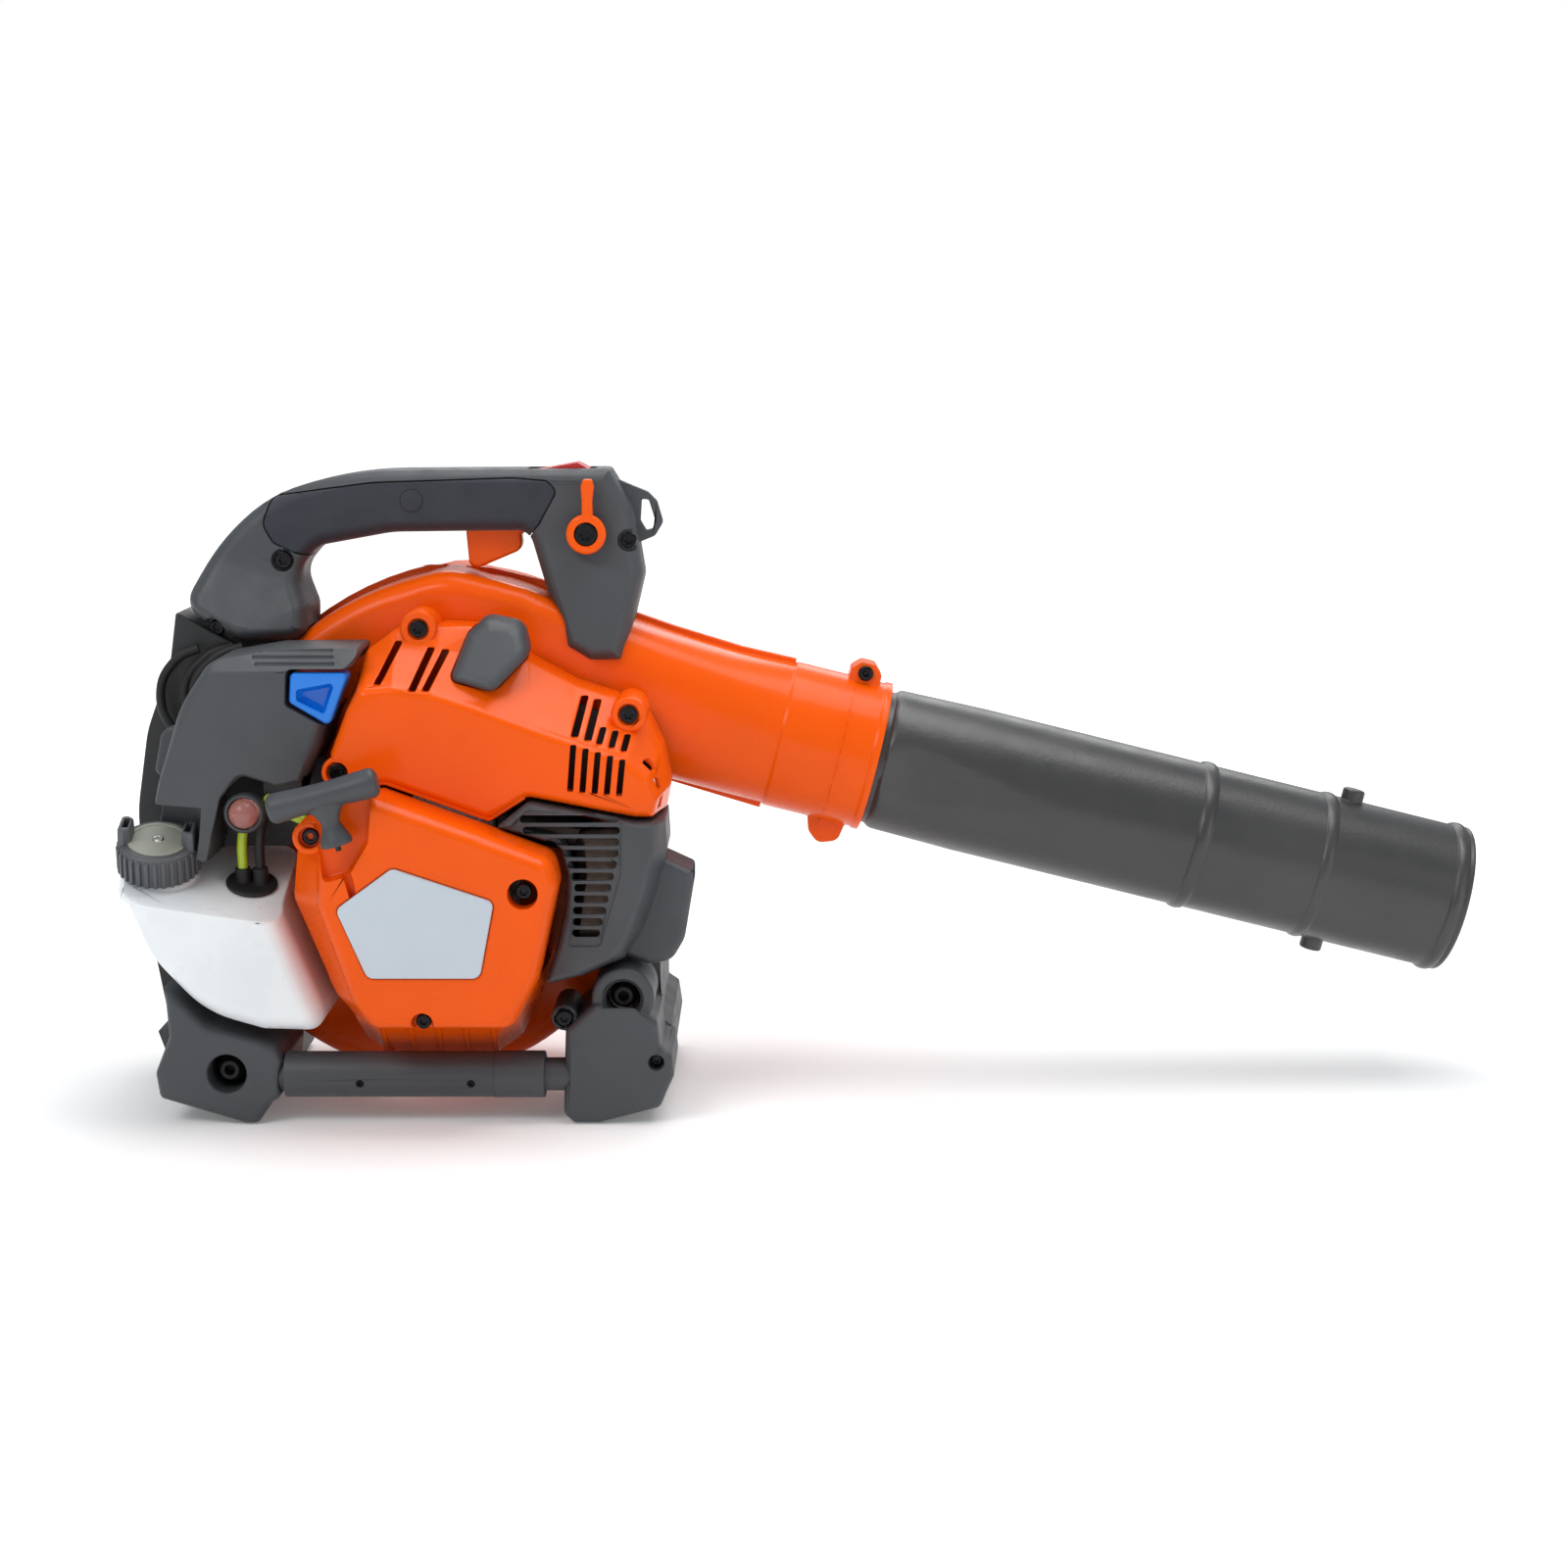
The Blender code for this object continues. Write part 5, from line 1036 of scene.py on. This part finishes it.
def build_fuel_cap():
    """Cap with a ribbed skirt, two grab tabs and a light disc held by a screw."""
    skirt = [(18.2, -1.0), (CAP_R - 1.4, -1.0), (CAP_R - 1.4, 13.4), (21.0, 15.2), (19.6, 16.2), (18.6, 16.4)]
    skirt += [(8.0, 16.4), (8.0, 13.8), (18.2, 13.8)]
    make("fuel_cap", ring_solid(skirt, CAP_BASE, CAP_DIR, 20), 0.2)
    ribs = []
    ring = [(-1.15, -1.9), (-1.15, -0.35), (-0.7, 0.0), (0.7, 0.0), (1.15, -0.35), (1.15, -1.9)]
    for k in range(CAP_RIBS):
        c, s = math.cos(math.tau * k / CAP_RIBS), math.sin(math.tau * k / CAP_RIBS)
        ribs.append(loft([
            [cap_place(c * (CAP_R - lean + v) - s * u, s * (CAP_R - lean + v) + c * u, h) for u, v in ring]
            for h, lean in ((-0.9, 0.3), (0.2, 0.0), (13.0, 0.0), (14.6, 0.9))
        ]))
    make("cap_ribs", merged(*ribs), 0.2, "cap_plastic", "cap")
    tab = [
        (13.5, -6.0, 1.2), (17.0, -8.0, 1.2), (20.6, -7.2, 1.2), (20.6, 7.2, 1.2), (17.0, 8.0, 1.2),
        (13.5, 6.0, 1.2)
    ]
    pocket = [(15.2, -4.6), (18.4, -4.6), (18.4, 4.6), (15.2, 4.6)]
    middle = 17.2
    for k, side in enumerate((-1, 1)):
        rings = []
        for h, step in ((14.0, 0.0), (24.4, 0.4), (25.6, 0.8), (26.0, 1.4)):
            thin, short = 1 - step / 5, 1 - step / 9
            rings.append([
                cap_place(side * (middle + (x - middle) * thin), y * short, h) for x, y in outline(tab, 1)
            ])
        name = f"cap_tab_{k}"
        shape = draft(name, loft(rings))
        cut(shape, loft([[cap_place(side * x, y, h) for x, y in pocket] for h in (19.0, 30.0)]))
        finish(name, 0.35, "cap_plastic", "cap")
    disc = [(16.6, 16.0), (16.6, 17.0), (16.2, 17.4), (14.4, 17.4), (14.0, 16.9), (3.8, 16.9), (3.6, 17.0)]
    disc += [(0.0, 17.0)]
    make("cap_disc", turned(disc, CAP_BASE, CAP_DIR, 16), 0.0, "cap_plastic", "cap")
    torx_screw("cap_screw", CAP_BASE + CAP_DIR * 17.8, CAP_DIR, 3.2, "cap", "steel", 1.6)


def build_fuel_lines():
    """Round grommet with its two lines, and a third loop of line below the carburettor."""
    plug = [(9.0, -4.0), (9.0, 0.9), (13.2, 0.9), (13.9, 1.3), (13.9, 2.2), (13.3, 2.8), (11.4, 3.2)]
    shape = draft("fuel_grommet", turned([*plug, (6.0, 2.4), (0.0, 2.2)], GROMMET, TOP_DIR, 16))
    for x in (-105.5, -96.0):
        join(shape, pipe([(x, -87.2, 150), (x, -88.2, 159.0)], 4.2, 10))
    finish("fuel_grommet", 0.2)
    lines = (("fuel_line_feed", -105.5, (-97.5, -84, 198)), ("fuel_line_return", -96.0, (-86, -80, 194.6)))
    for name, x, top in lines:
        path = [(x, -87, 148), (x, -88, 160), (x, -89, 172), (x + 2, -89, 184), top]
        make(name, pipe(curve(path, 10), 2.7, 12), 0.0)
    path = [(-90, -96, 199), (-84, -99, 195), (-76, -101, 190), (-68, -100, 187), (-58, -96, 188)]
    make("fuel_line_loop", pipe(curve(path, 10), 2.6, 12), 0.0, "fuel_green")


# ---------------------------------------------------------------- screws
def torx_screw(name, head, direction, radius, body, slot="black_steel", tall=3.4):
    """Screw head, its top at the given point, with a six-lobed socket."""
    direction = Vector(direction).normalized()
    low = -tall
    rim = [(radius, low), (radius, -0.7), (radius - 0.25, -0.2), (radius - 0.8, 0.0)]
    shape = draft(name, turned(rim, head, direction, 12))
    turn = frame_of(direction)
    socket = []
    for k in range(36):
        angle = math.tau * k / 36
        reach = radius * (0.46 + 0.085 * math.cos(6.0 * angle))
        socket.append((reach * math.cos(angle), reach * math.sin(angle)))
    depth = min(2.2, 0.7 * tall)
    cut(shape, loft([[Vector(head) + turn @ Vector((x, y, h)) for x, y in socket] for h in (-depth, 3.0)]))
    finish(name, 0.12, slot, body)


SCREWS = (
    ("handle_rear", (-90, -26.5, 321), 4.9), ("handle_front", (102, -26.5, 332), 4.4),
    ("handle_low", (-128, -27.0, 283.5), 4.4), ("cover_top", (-9.5, -75.4, 287.5), 4.8),
    ("cover_front", (104.3, -87.4, 242.5), 4.8), ("cover_rear", (-50, -107.9, 214), 4.8),
    ("starter_front", (51, -135.0, 155), 4.4), ("starter_low", (-3, -136.0, 85), 4.0),
    ("starter_rear", (-61, -133.0, 184), 4.4), ("foot_ear", (69.2, -105.6, 79.3), 4.4),
    ("foot_side", (119, -104.6, 56), 3.2), ("bar_left", (-41, -113.4, 45), 1.9),
    ("bar_right", (19, -113.4, 45), 1.9),
)


def build_screws():
    for name, head, radius in SCREWS:
        torx_screw(f"screw_{name}", head, TO_STARTER, radius, "frame")


# ---------------------------------------------------------------- handle and controls
HANDLE_Y = -5.0
HANDLE_HALF_WIDTH = 23.0
HANDLE = [
    (-147, 295, 12), (-128, 329, 115), (-98, 357, 82), (-50, 370.5, 200), (91, 371.5, 3),
    (104, 350, 4), (110, 312, 14), (99, 265, 3), (80, 264, 5), (66, 272, 6), (46, 337, 9),
    (-30, 336, 60), (-71, 328.5, 12), (-82.5, 315, 14), (-75.5, 296, 12), (-75.5, 282, 6),
    (-82, 276.5, 8), (-112, 276, 20), (-130, 285, 12),
]
GRIP = [
    (-95, 356, 6), (-100.5, 341, 8), (-95, 331, 8), (-84, 325.5, 8), (-68, 322), (-60, 325), (-30, 330),
    (43, 330), (52, 341, 4), (62, 359, 4), (57, 364.5, 4), (38, 366, 40), (-40, 363.5, 120), (-70, 359.5, 60),
]
TRIGGER_POCKET = [(7, 325), (7, 359, 3), (24, 359, 3), (52, 352, 3), (53, 337), (46, 325)]
PULL_DIR = Vector((-0.26, 0.0, 0.966)).normalized()
PULL_BASE = Vector((-44.5, -147.0, 182.0))


def handle_volume(levels):
    """Handle stacked along Y. Its legs widen towards the starter side, over the fan housing."""
    rings = []
    for y, step in levels:
        ring = []
        for x, z in outline(inset(HANDLE, step), 2):
            down = min(1.0, max(0.0, (325.0 - z) / 45.0))
            flare = 1.0 + (0.65 * down * down * (3.0 - 2.0 * down) if y < HANDLE_Y else 0.0)
            ring.append((x, HANDLE_Y + (y - HANDLE_Y) * flare, z))
        rings.append(ring)
    return loft(rings)


def side_levels(side, shrink=0.0):
    """Rounded half of the handle on one side of its parting plane."""
    w = HANDLE_HALF_WIDTH
    rows = [(0.15 if shrink == 0.0 else -6.0, 0.0), *fillet(w - 11.0, w, 8.4, 9)]
    return [(HANDLE_Y + side * (d - (shrink if d > 0 else 0.0)), s + shrink) for d, s in rows]


def rim_clearance():
    """Clearance for the flange of the fan housing."""
    points = [
        *scroll_curve(4.0)[26:], (22, 315), (50, 308.3), (90, 298.5), (108, 291.5), (108, 260), (0, 200),
        (-60, 200)
    ]
    return prism(points, SPLIT_Y - 4.0, SPLIT_Y + 4.0)


def build_handle():
    """Two shells, with a bed for the grip, a hanging loop and room for the housing and the controls."""
    near = draft("handle_shell_near", handle_volume(side_levels(-1)))
    far = draft("handle_shell_far", handle_volume(side_levels(1)))
    bed = draft("bed", prism(inset(GRIP, -0.6), -60, 0))
    cut(bed, handle_volume(side_levels(-1, 3.6)))
    apply_boolean(near, DRAFTS.pop("bed"), "DIFFERENCE")
    loop = [
        (86, 360), (92, 366.5, 3), (101, 362.5, 3), (112, 358, 4), (117, 353, 4), (120.5, 341, 4),
        (116, 333.5, 4), (98, 326)
    ]
    join(near, prism(loop, -12.0, HANDLE_Y - 0.15, 2))
    slot = [
        (108.5, 354, 1.2), (112.5, 353.5, 1.2), (116, 342, 1.2), (114.5, 337.5, 1.2), (111, 336.5, 1.2),
        (107.8, 342, 1.2)
    ]
    cut(near, prism(slot, -20, 10, 1))
    for shell in (near, far):
        cut(shell, rim_clearance())
        cut(shell, scroll(0.7))
        cut(shell, duct(0.6))
        cut(shell, prism(TRIGGER_POCKET, -13.0, 3.0, 1))
        cut(shell, block(45, 83, -18, 8, 359, 390))
    cut(near, cylinder((79, -45, 336), ALONG_CRANK, 4.4, 32.0, 14))
    for x, z in ((-90, 321), (102, 332), (-128, 283.5)):
        cut(near, cylinder((x, -70, z), ALONG_CRANK, 6.2, 46.0, 12))
    finish("handle_shell_near", 0.7)
    finish("handle_shell_far", 0.7)


def build_grip():
    """Soft insert, standing a little proud of the shell, with a round plug and a dark ring round it that is
    painted shade for the groove between them.
    """
    grip = draft("grip_insert", handle_volume(side_levels(-1)))
    keep(grip, prism(GRIP, -60, HANDLE_Y - 0.3))
    cut(grip, handle_volume(side_levels(-1, 2.4)))
    cut(grip, prism(TRIGGER_POCKET, -13.0, 3.0, 1))
    finish("grip_insert", 0.8)
    plug = [(5.9, -1.0), (5.9, 0.3), (5.4, 0.6), (0.0, 0.6)]
    make("grip_plug", turned(plug, (-18, -28.0, 354), TO_STARTER, 16), 0.0, "soft_grip")
    # Dark rubber ring round the plug, a little proud: painted shade standing in for the groove between plug
    # and insert.
    rim = [(6.6, -1.0), (6.6, 0.15), (5.8, 0.15), (5.8, -1.0)]
    make("grip_plug_rim", ring_solid(rim, (-18, -28.0, 354), TO_STARTER, 18), 0.0, "rubber")


def build_controls():
    """Trigger, cruise lever with its screw, and stop switch."""
    blade = [
        (10, 335), (11.5, 317, 4), (16, 315, 3), (42, 326, 6), (41, 334), (50, 341), (49, 348, 3),
        (12, 348, 3)
    ]
    levels = [(-11.0, 1.4), (-10.4, 0.6), (-9.4, 0.0), (-0.6, 0.0), (0.4, 0.6), (1.0, 1.4)]
    trigger = draft("throttle_trigger", stack(blade, levels, 2))
    join(trigger, cylinder((44, -12.4, 343), ALONG_CRANK, 3.4, 14.8, 12))
    finish("throttle_trigger", 0.3)
    knob = [(9.2, -39.2), (10.2, -38.9), (10.8, -38.2), (11.0, -37.4), (11.0, -34.4)]
    lever = draft("cruise_lever", turned(knob, (79, 0, 336), ALONG_CRANK, 18))
    arm = [
        (76.5, 343), (76.7, 354), (76.2, 362, 2), (77.6, 366.3, 1.6), (82.6, 366.3, 1.6), (83.6, 362, 2),
        (82.6, 354), (83, 343)
    ]
    join(lever, stack(arm, [(-34.4, 0.0), *fillet(-36.8, -39.0, 1.4, 4)], 1))
    join(lever, cylinder((79, -35, 336), ALONG_CRANK, 4.0, 18.0, 14))
    cut(lever, cylinder((79, -42, 336), ALONG_CRANK, 6.6, 5.8, 14))
    finish("cruise_lever", 0.4)
    torx_screw("screw_cruise", (79, -38.6, 336), TO_STARTER, 6.3, "cruise", "black_steel", 2.4)
    wedge = [(48.5, 370, 1), (73, 374.5, 1.6), (79.5, 371, 1), (79.5, 366, 1), (63, 362.5, 3), (48.5, 366, 1)]
    make("stop_switch", prism(wedge, -15.5, 5.5, 1), 0.5)


def build_starter_handle():
    """T-handle of the recoil starter, with its collar."""
    bar = Vector((0.966, 0.0, 0.26)).normalized()
    middle = PULL_BASE + PULL_DIR * 27.0
    rings = []
    profile = (
        (-29.5, 4.4, 4.6), (-29.3, 5.8, 6.0), (-28.4, 7.2, 7.2), (-26.5, 8.0, 8.0), (-20, 7.8, 8.2),
        (-10, 7.2, 8.5), (0, 7.0, 8.6), (10, 7.2, 8.5), (20, 7.8, 8.2), (26.5, 8.0, 8.0), (28.4, 7.2, 7.2),
        (29.3, 5.8, 6.0), (29.5, 4.4, 4.6)
    )
    for along_bar, height, depth in profile:
        rings.append([
            middle + bar * along_bar + PULL_DIR * (height * math.sin(a)) + Vector((0, depth * math.cos(a), 0))
            for a in (math.tau * k / 40 for k in range(40))
        ])
    handle = draft("starter_handle", loft(rings))
    stem = [(7.8, 0.0), (8.4, 0.6), (8.5, 1.6), (8.0, 4.0), (6.2, 8.0), (4.7, 12.0), (4.7, 16.0), (5.6, 20.0)]
    join(handle, turned([*stem, (5.6, 25.0)], PULL_BASE, PULL_DIR, 14))
    gusset = [(9.0, 4.4), (13.0, 5.0), (17.0, 6.8), (20.5, 9.8), (23.0, 13.5), (26.0, 15.0)]
    rings = []
    for h, half in gusset:
        middle = PULL_BASE + PULL_DIR * h
        rings.append([
            middle + bar * (half * math.cos(a)) + Vector((0, (4.2 + 0.1 * h) * math.sin(a), 0))
            for a in (math.tau * k / 32 for k in range(32))
        ])
    join(handle, loft(rings))
    cut(handle, cylinder(PULL_BASE - PULL_DIR * 4, PULL_DIR, 1.8, 20, 8))
    finish("starter_handle", 0.5)


def build_cables():
    """Throttle cable, and the conduit loops beside it, between the handle and the filter cover."""
    path = [
        (-136, -38.6, 273), (-147, -39.5, 268), (-156, -40, 256), (-157, -40, 240), (-150, -41, 226),
        (-144, -41, 214)
    ]
    make("throttle_cable", pipe(curve(path, 8), 2.6, 10), 0.0)
    for k, (dx, dy) in enumerate(((7.0, 2.0), (13.0, -3.0))):
        loop = [
            (-124 + dx, -38 + dy, 274), (-136 + dx, -40 + dy, 270), (-148 + dx, -41 + dy, 259),
            (-151 + dx, -41 + dy, 246), (-146 + dx, -41 + dy, 232), (-138 + dx, -41 + dy, 222)
        ]
        name = f"conduit_{k}"
        make(name, pipe(curve(loop, 8), 3.0, 10), 0.0, "rubber")


# ---------------------------------------------------------------- frame and feet
REAR_FOOT = [
    (-146, 98), (-144, 70), (-152, 50, 7), (-150, 36, 4), (-104, 22, 5), (-97, 22, 4),
    (-90, 33.5, 5), (-85, 36, 4), (-83, 56, 6), (-86, 64, 5), (-94, 67.0, 5), (-124, 75.5, 10),
]
FRONT_FOOT = [
    (70, 74, 4), (68.5, 27, 5), (74, 22, 4), (88, 22), (121, 30.5, 5), (124, 38, 4), (128.5, 48, 5),
    (127.5, 60, 4), (121, 63, 5), (120, 78, 5), (108, 88, 5), (86, 88, 5),
]
BAR_Y, BAR_Z = -101.5, 47.5


def build_rear_frame():
    """Upright behind the tank, and a thin web between it and the volute."""
    outer = [(-150, 292), (-154, 264, 30), (-168, 226, 60), (-175, 180, 80), (-170, 110, 80), (-161, 58)]
    inner = [
        (-144, 58), (-153, 112, 60), (-159.5, 180, 50), (-153, 226, 40), (-141, 256, 10), (-126, 266, 4)
    ]
    top = [(-113, 270), (-113, 272.6), (-131, 281.8), (-147.8, 291.6)]
    shape = draft("rear_frame", prism([*outer, *inner, *top], -30.0, 28.0, 1))
    cut(shape, scroll(1.0))
    cut(shape, rim_clearance())
    finish("rear_frame", 1.2)
    web = [
        (-139, 285), (-143, 262), (-154, 228), (-161, 180), (-154, 112), (-130, 100), (-70, 100), (-70, 285)
    ]
    plate = draft("rear_web", prism(web, -24.0, -20.0))
    cut(plate, scroll(1.0))
    finish("rear_web", 0.3, "grey_plastic")


def build_feet():
    """Two feet with arms under the volute, the bar between them and the rubber mounts in them."""
    rear = draft("rear_foot", stack(REAR_FOOT, [*reversed(fillet(-107.0, -112.0, 3.6, 6)), (-40.0, 0.0)], 2))
    arm = [
        (-165, 57), (-158, 37, 8), (-104, 23.4, 3), (-95, 25), (-101, 50), (-113, 62), (-131, 96),
        (-144, 96), (-146, 57)
    ]
    join(rear, prism(arm, -43.4, 66.0, 1))
    bore = [(10.5, -20.0), (10.5, 23.8), (12.2, 24.9), (13.2, 28.0)]
    cut(rear, turned(bore, (-113, -87.6, 50), TO_STARTER, 16))
    cut(rear, rod((-60, BAR_Y, BAR_Z), (-92, BAR_Y, BAR_Z), 9.4, 16))
    finish("rear_foot", 0.8)
    levels = [*reversed(fillet(-106.0, -111.0, 3.6, 6)), (-46.0, 0.0)]
    front = draft("front_foot", stack(FRONT_FOOT, levels, 2))
    cut(front, rod((50, BAR_Y, BAR_Z), (83, BAR_Y, BAR_Z), 9.3, 16))
    boss_ring = [(14.6, -106.0), (15.8, -105.6), (16.7, -104.6), (17.0, -103.2), (17.0, -62.0)]
    ear = [(5.8, -104.6), (6.8, -104.1), (7.2, -103.0), (7.2, -64.0)]
    arm = [
        (82, 24, 3), (121, 31.5, 4), (127, 48, 4), (125, 62), (119, 66), (119, 98), (108, 104, 4),
        (106, 94), (100, 68), (88, 46), (80, 30)
    ]
    join(front, turned(boss_ring, (101, 0, 90), ALONG_CRANK, 18))
    join(front, turned(ear, (69.2, 0, 79.3), ALONG_CRANK, 12))
    join(front, prism(arm, -50.0, 66.0, 1))
    bore = [(9.5, -27.0), (9.5, 18.5), (10.6, 19.5), (11.4, 24.0)]
    cut(front, turned(bore, (101, -86.0, 90), TO_STARTER, 16))
    for screw_seat, radius in (((69.2, -102.4, 79.3), 5.0), ((119, -101.6, 56), 4.2)):
        cut(front, cylinder(screw_seat, TO_STARTER, radius, 20.0, 12))
    finish("front_foot", 0.8)
    profile = [(9.0, -90.0), (9.0, -82.5), (12.0, -82.5), (12.4, -82.0), (12.4, 30.0), (12.4, 31.0)]
    profile += [(12.7, 31.2), (12.7, 58.0), (12.2, 58.5), (9.0, 58.5), (9.0, 80.0)]
    bar = draft("base_bar", turned(profile, (0, BAR_Y, BAR_Z), (1, 0, 0), 18))
    for x in (-41, 19):
        cut(bar, cylinder((x, -110.0, 45), TO_STARTER, 2.1, 10.0, 10))
    finish("base_bar", 0.4)
    buffer = [(7.6, 0.0), (7.6, 8.4), (7.0, 9.2), (5.4, 12.0), (5.4, 14.4), (4.8, 15.0), (3.0, 15.0)]
    buffer += [(3.0, 6.0), (0.0, 6.0)]
    for name, x, z, y in (("av_mount_rear", -113, 50, -88.3), ("av_mount_front", 101, 90, -83.3)):
        make(name, turned(buffer, (x, y, z), TO_STARTER, 14), 0.0)


# ---------------------------------------------------------------- starter rope
def build_rope():
    """Rope from the housing to the pull handle."""
    start, end = PULL_BASE - PULL_DIR * 3.0, PULL_BASE + PULL_DIR * 3.0
    rope = link("pull_rope", to_mesh(rod(start, end, 1.5, 8), "pull_rope"), "rubber")
    rope.data.shade_smooth()
    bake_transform(rope)


# ---------------------------------------------------------------- studio
def build_camera():
    data = bpy.data.cameras.new("camera")
    data.sensor_width = 36.0
    data.lens = 65.1
    data.clip_start = 0.05
    data.clip_end = 50.0
    camera = bpy.data.objects.new("camera", data)
    camera.location = at((188.0, -1600.0, 444.4))
    camera.rotation_euler = (math.radians(81.0), 0.0, 0.0)
    bpy.context.scene.collection.objects.link(camera)
    bpy.context.scene.camera = camera


def soft_light(name, place, aim, size, power, colour=(1.0, 1.0, 1.0)):
    data = bpy.data.lights.new(name, "AREA")
    data.shape = "RECTANGLE"
    data.size, data.size_y = size
    data.energy = power
    data.color = colour
    light = bpy.data.objects.new(name, data)
    light.location = place
    light.rotation_euler = (Vector(aim) - Vector(place)).to_track_quat("-Z", "Y").to_euler()
    bpy.context.scene.collection.objects.link(light)


def build_studio():
    world = bpy.data.worlds.new("studio")
    world.use_nodes = True
    nodes, links = world.node_tree.nodes, world.node_tree.links
    nodes["Background"].inputs["Color"].default_value = (0.94, 0.97, 1.0, 1.0)
    nodes["Background"].inputs["Strength"].default_value = 0.42
    backdrop = nodes.new("ShaderNodeBackground")
    seen = nodes.new("ShaderNodeLightPath")
    mix = nodes.new("ShaderNodeMixShader")
    links.new(seen.outputs["Is Camera Ray"], mix.inputs["Fac"])
    links.new(nodes["Background"].outputs["Background"], mix.inputs[1])
    links.new(backdrop.outputs["Background"], mix.inputs[2])
    links.new(mix.outputs["Shader"], nodes["World Output"].inputs["Surface"])
    backdrop.inputs["Color"].default_value = (1.0, 1.0, 1.0, 1.0)
    bpy.context.scene.world = world
    bpy.context.scene.view_settings.view_transform = "Standard"
    soft_light("key", (-1.2, -1.4, 1.7), (0, 0, 0.15), (1.2, 0.8), 17.0)
    soft_light("top", (0.2, 0.2, 1.9), (0, 0, 0.1), (1.8, 1.0), 24.0)
    soft_light("fill", (1.5, -1.4, 0.6), (0.1, 0, 0.15), (0.8, 1.0), 4.0)
    soft_light("back", (0.2, 1.8, 1.2), (0, 0, 0.2), (1.6, 0.8), 10.0)
    bm = bmesh.new()
    bmesh.ops.create_grid(bm, x_segments=2, y_segments=2, size=9.0)
    mesh = bpy.data.meshes.new("floor")
    bm.to_mesh(mesh)
    bm.free()
    floor = bpy.data.objects.new("floor", mesh)
    floor.location.z = -0.0005
    t = Tree("floor_white")
    t.link(t.mixed(t.noise(3.0), (0.93, 0.93, 0.93), (0.95, 0.95, 0.95)), t.shader.inputs["Base Color"])
    distance = t.add("ShaderNodeVectorMath", operation="LENGTH")
    t.link(t.place, distance.inputs[0])
    t.link(t.spread(distance.outputs["Value"], 0.12, 0.75, 0.5, 2.2), t.shader.inputs["Emission Strength"])
    t.set(Roughness=0.9, Emission_Color=(1.0, 1.0, 1.0, 1.0))
    mesh.materials.append(t.material)
    bpy.context.scene.collection.objects.link(floor)


build_fan_housing()
build_tube()
build_engine_cover()
build_spark_plug_cover()
build_starter_housing()
build_muffler_guard()
build_muffler_outlet()
build_engine_shroud()
build_air_filter_cover()
build_intake_panel()
build_choke_lever()
build_primer()
build_fuel_tank()
build_fuel_cap()
build_fuel_lines()
build_starter_handle()
build_rope()
build_handle()
build_grip()
build_controls()
build_cables()
build_rear_frame()
build_feet()
build_screws()
for node in sorted(NODES):
    if not NODES[node].hide_render:
        put(node, NODES[node].data)
build_camera()
build_studio()

bpy.context.view_layer.update()
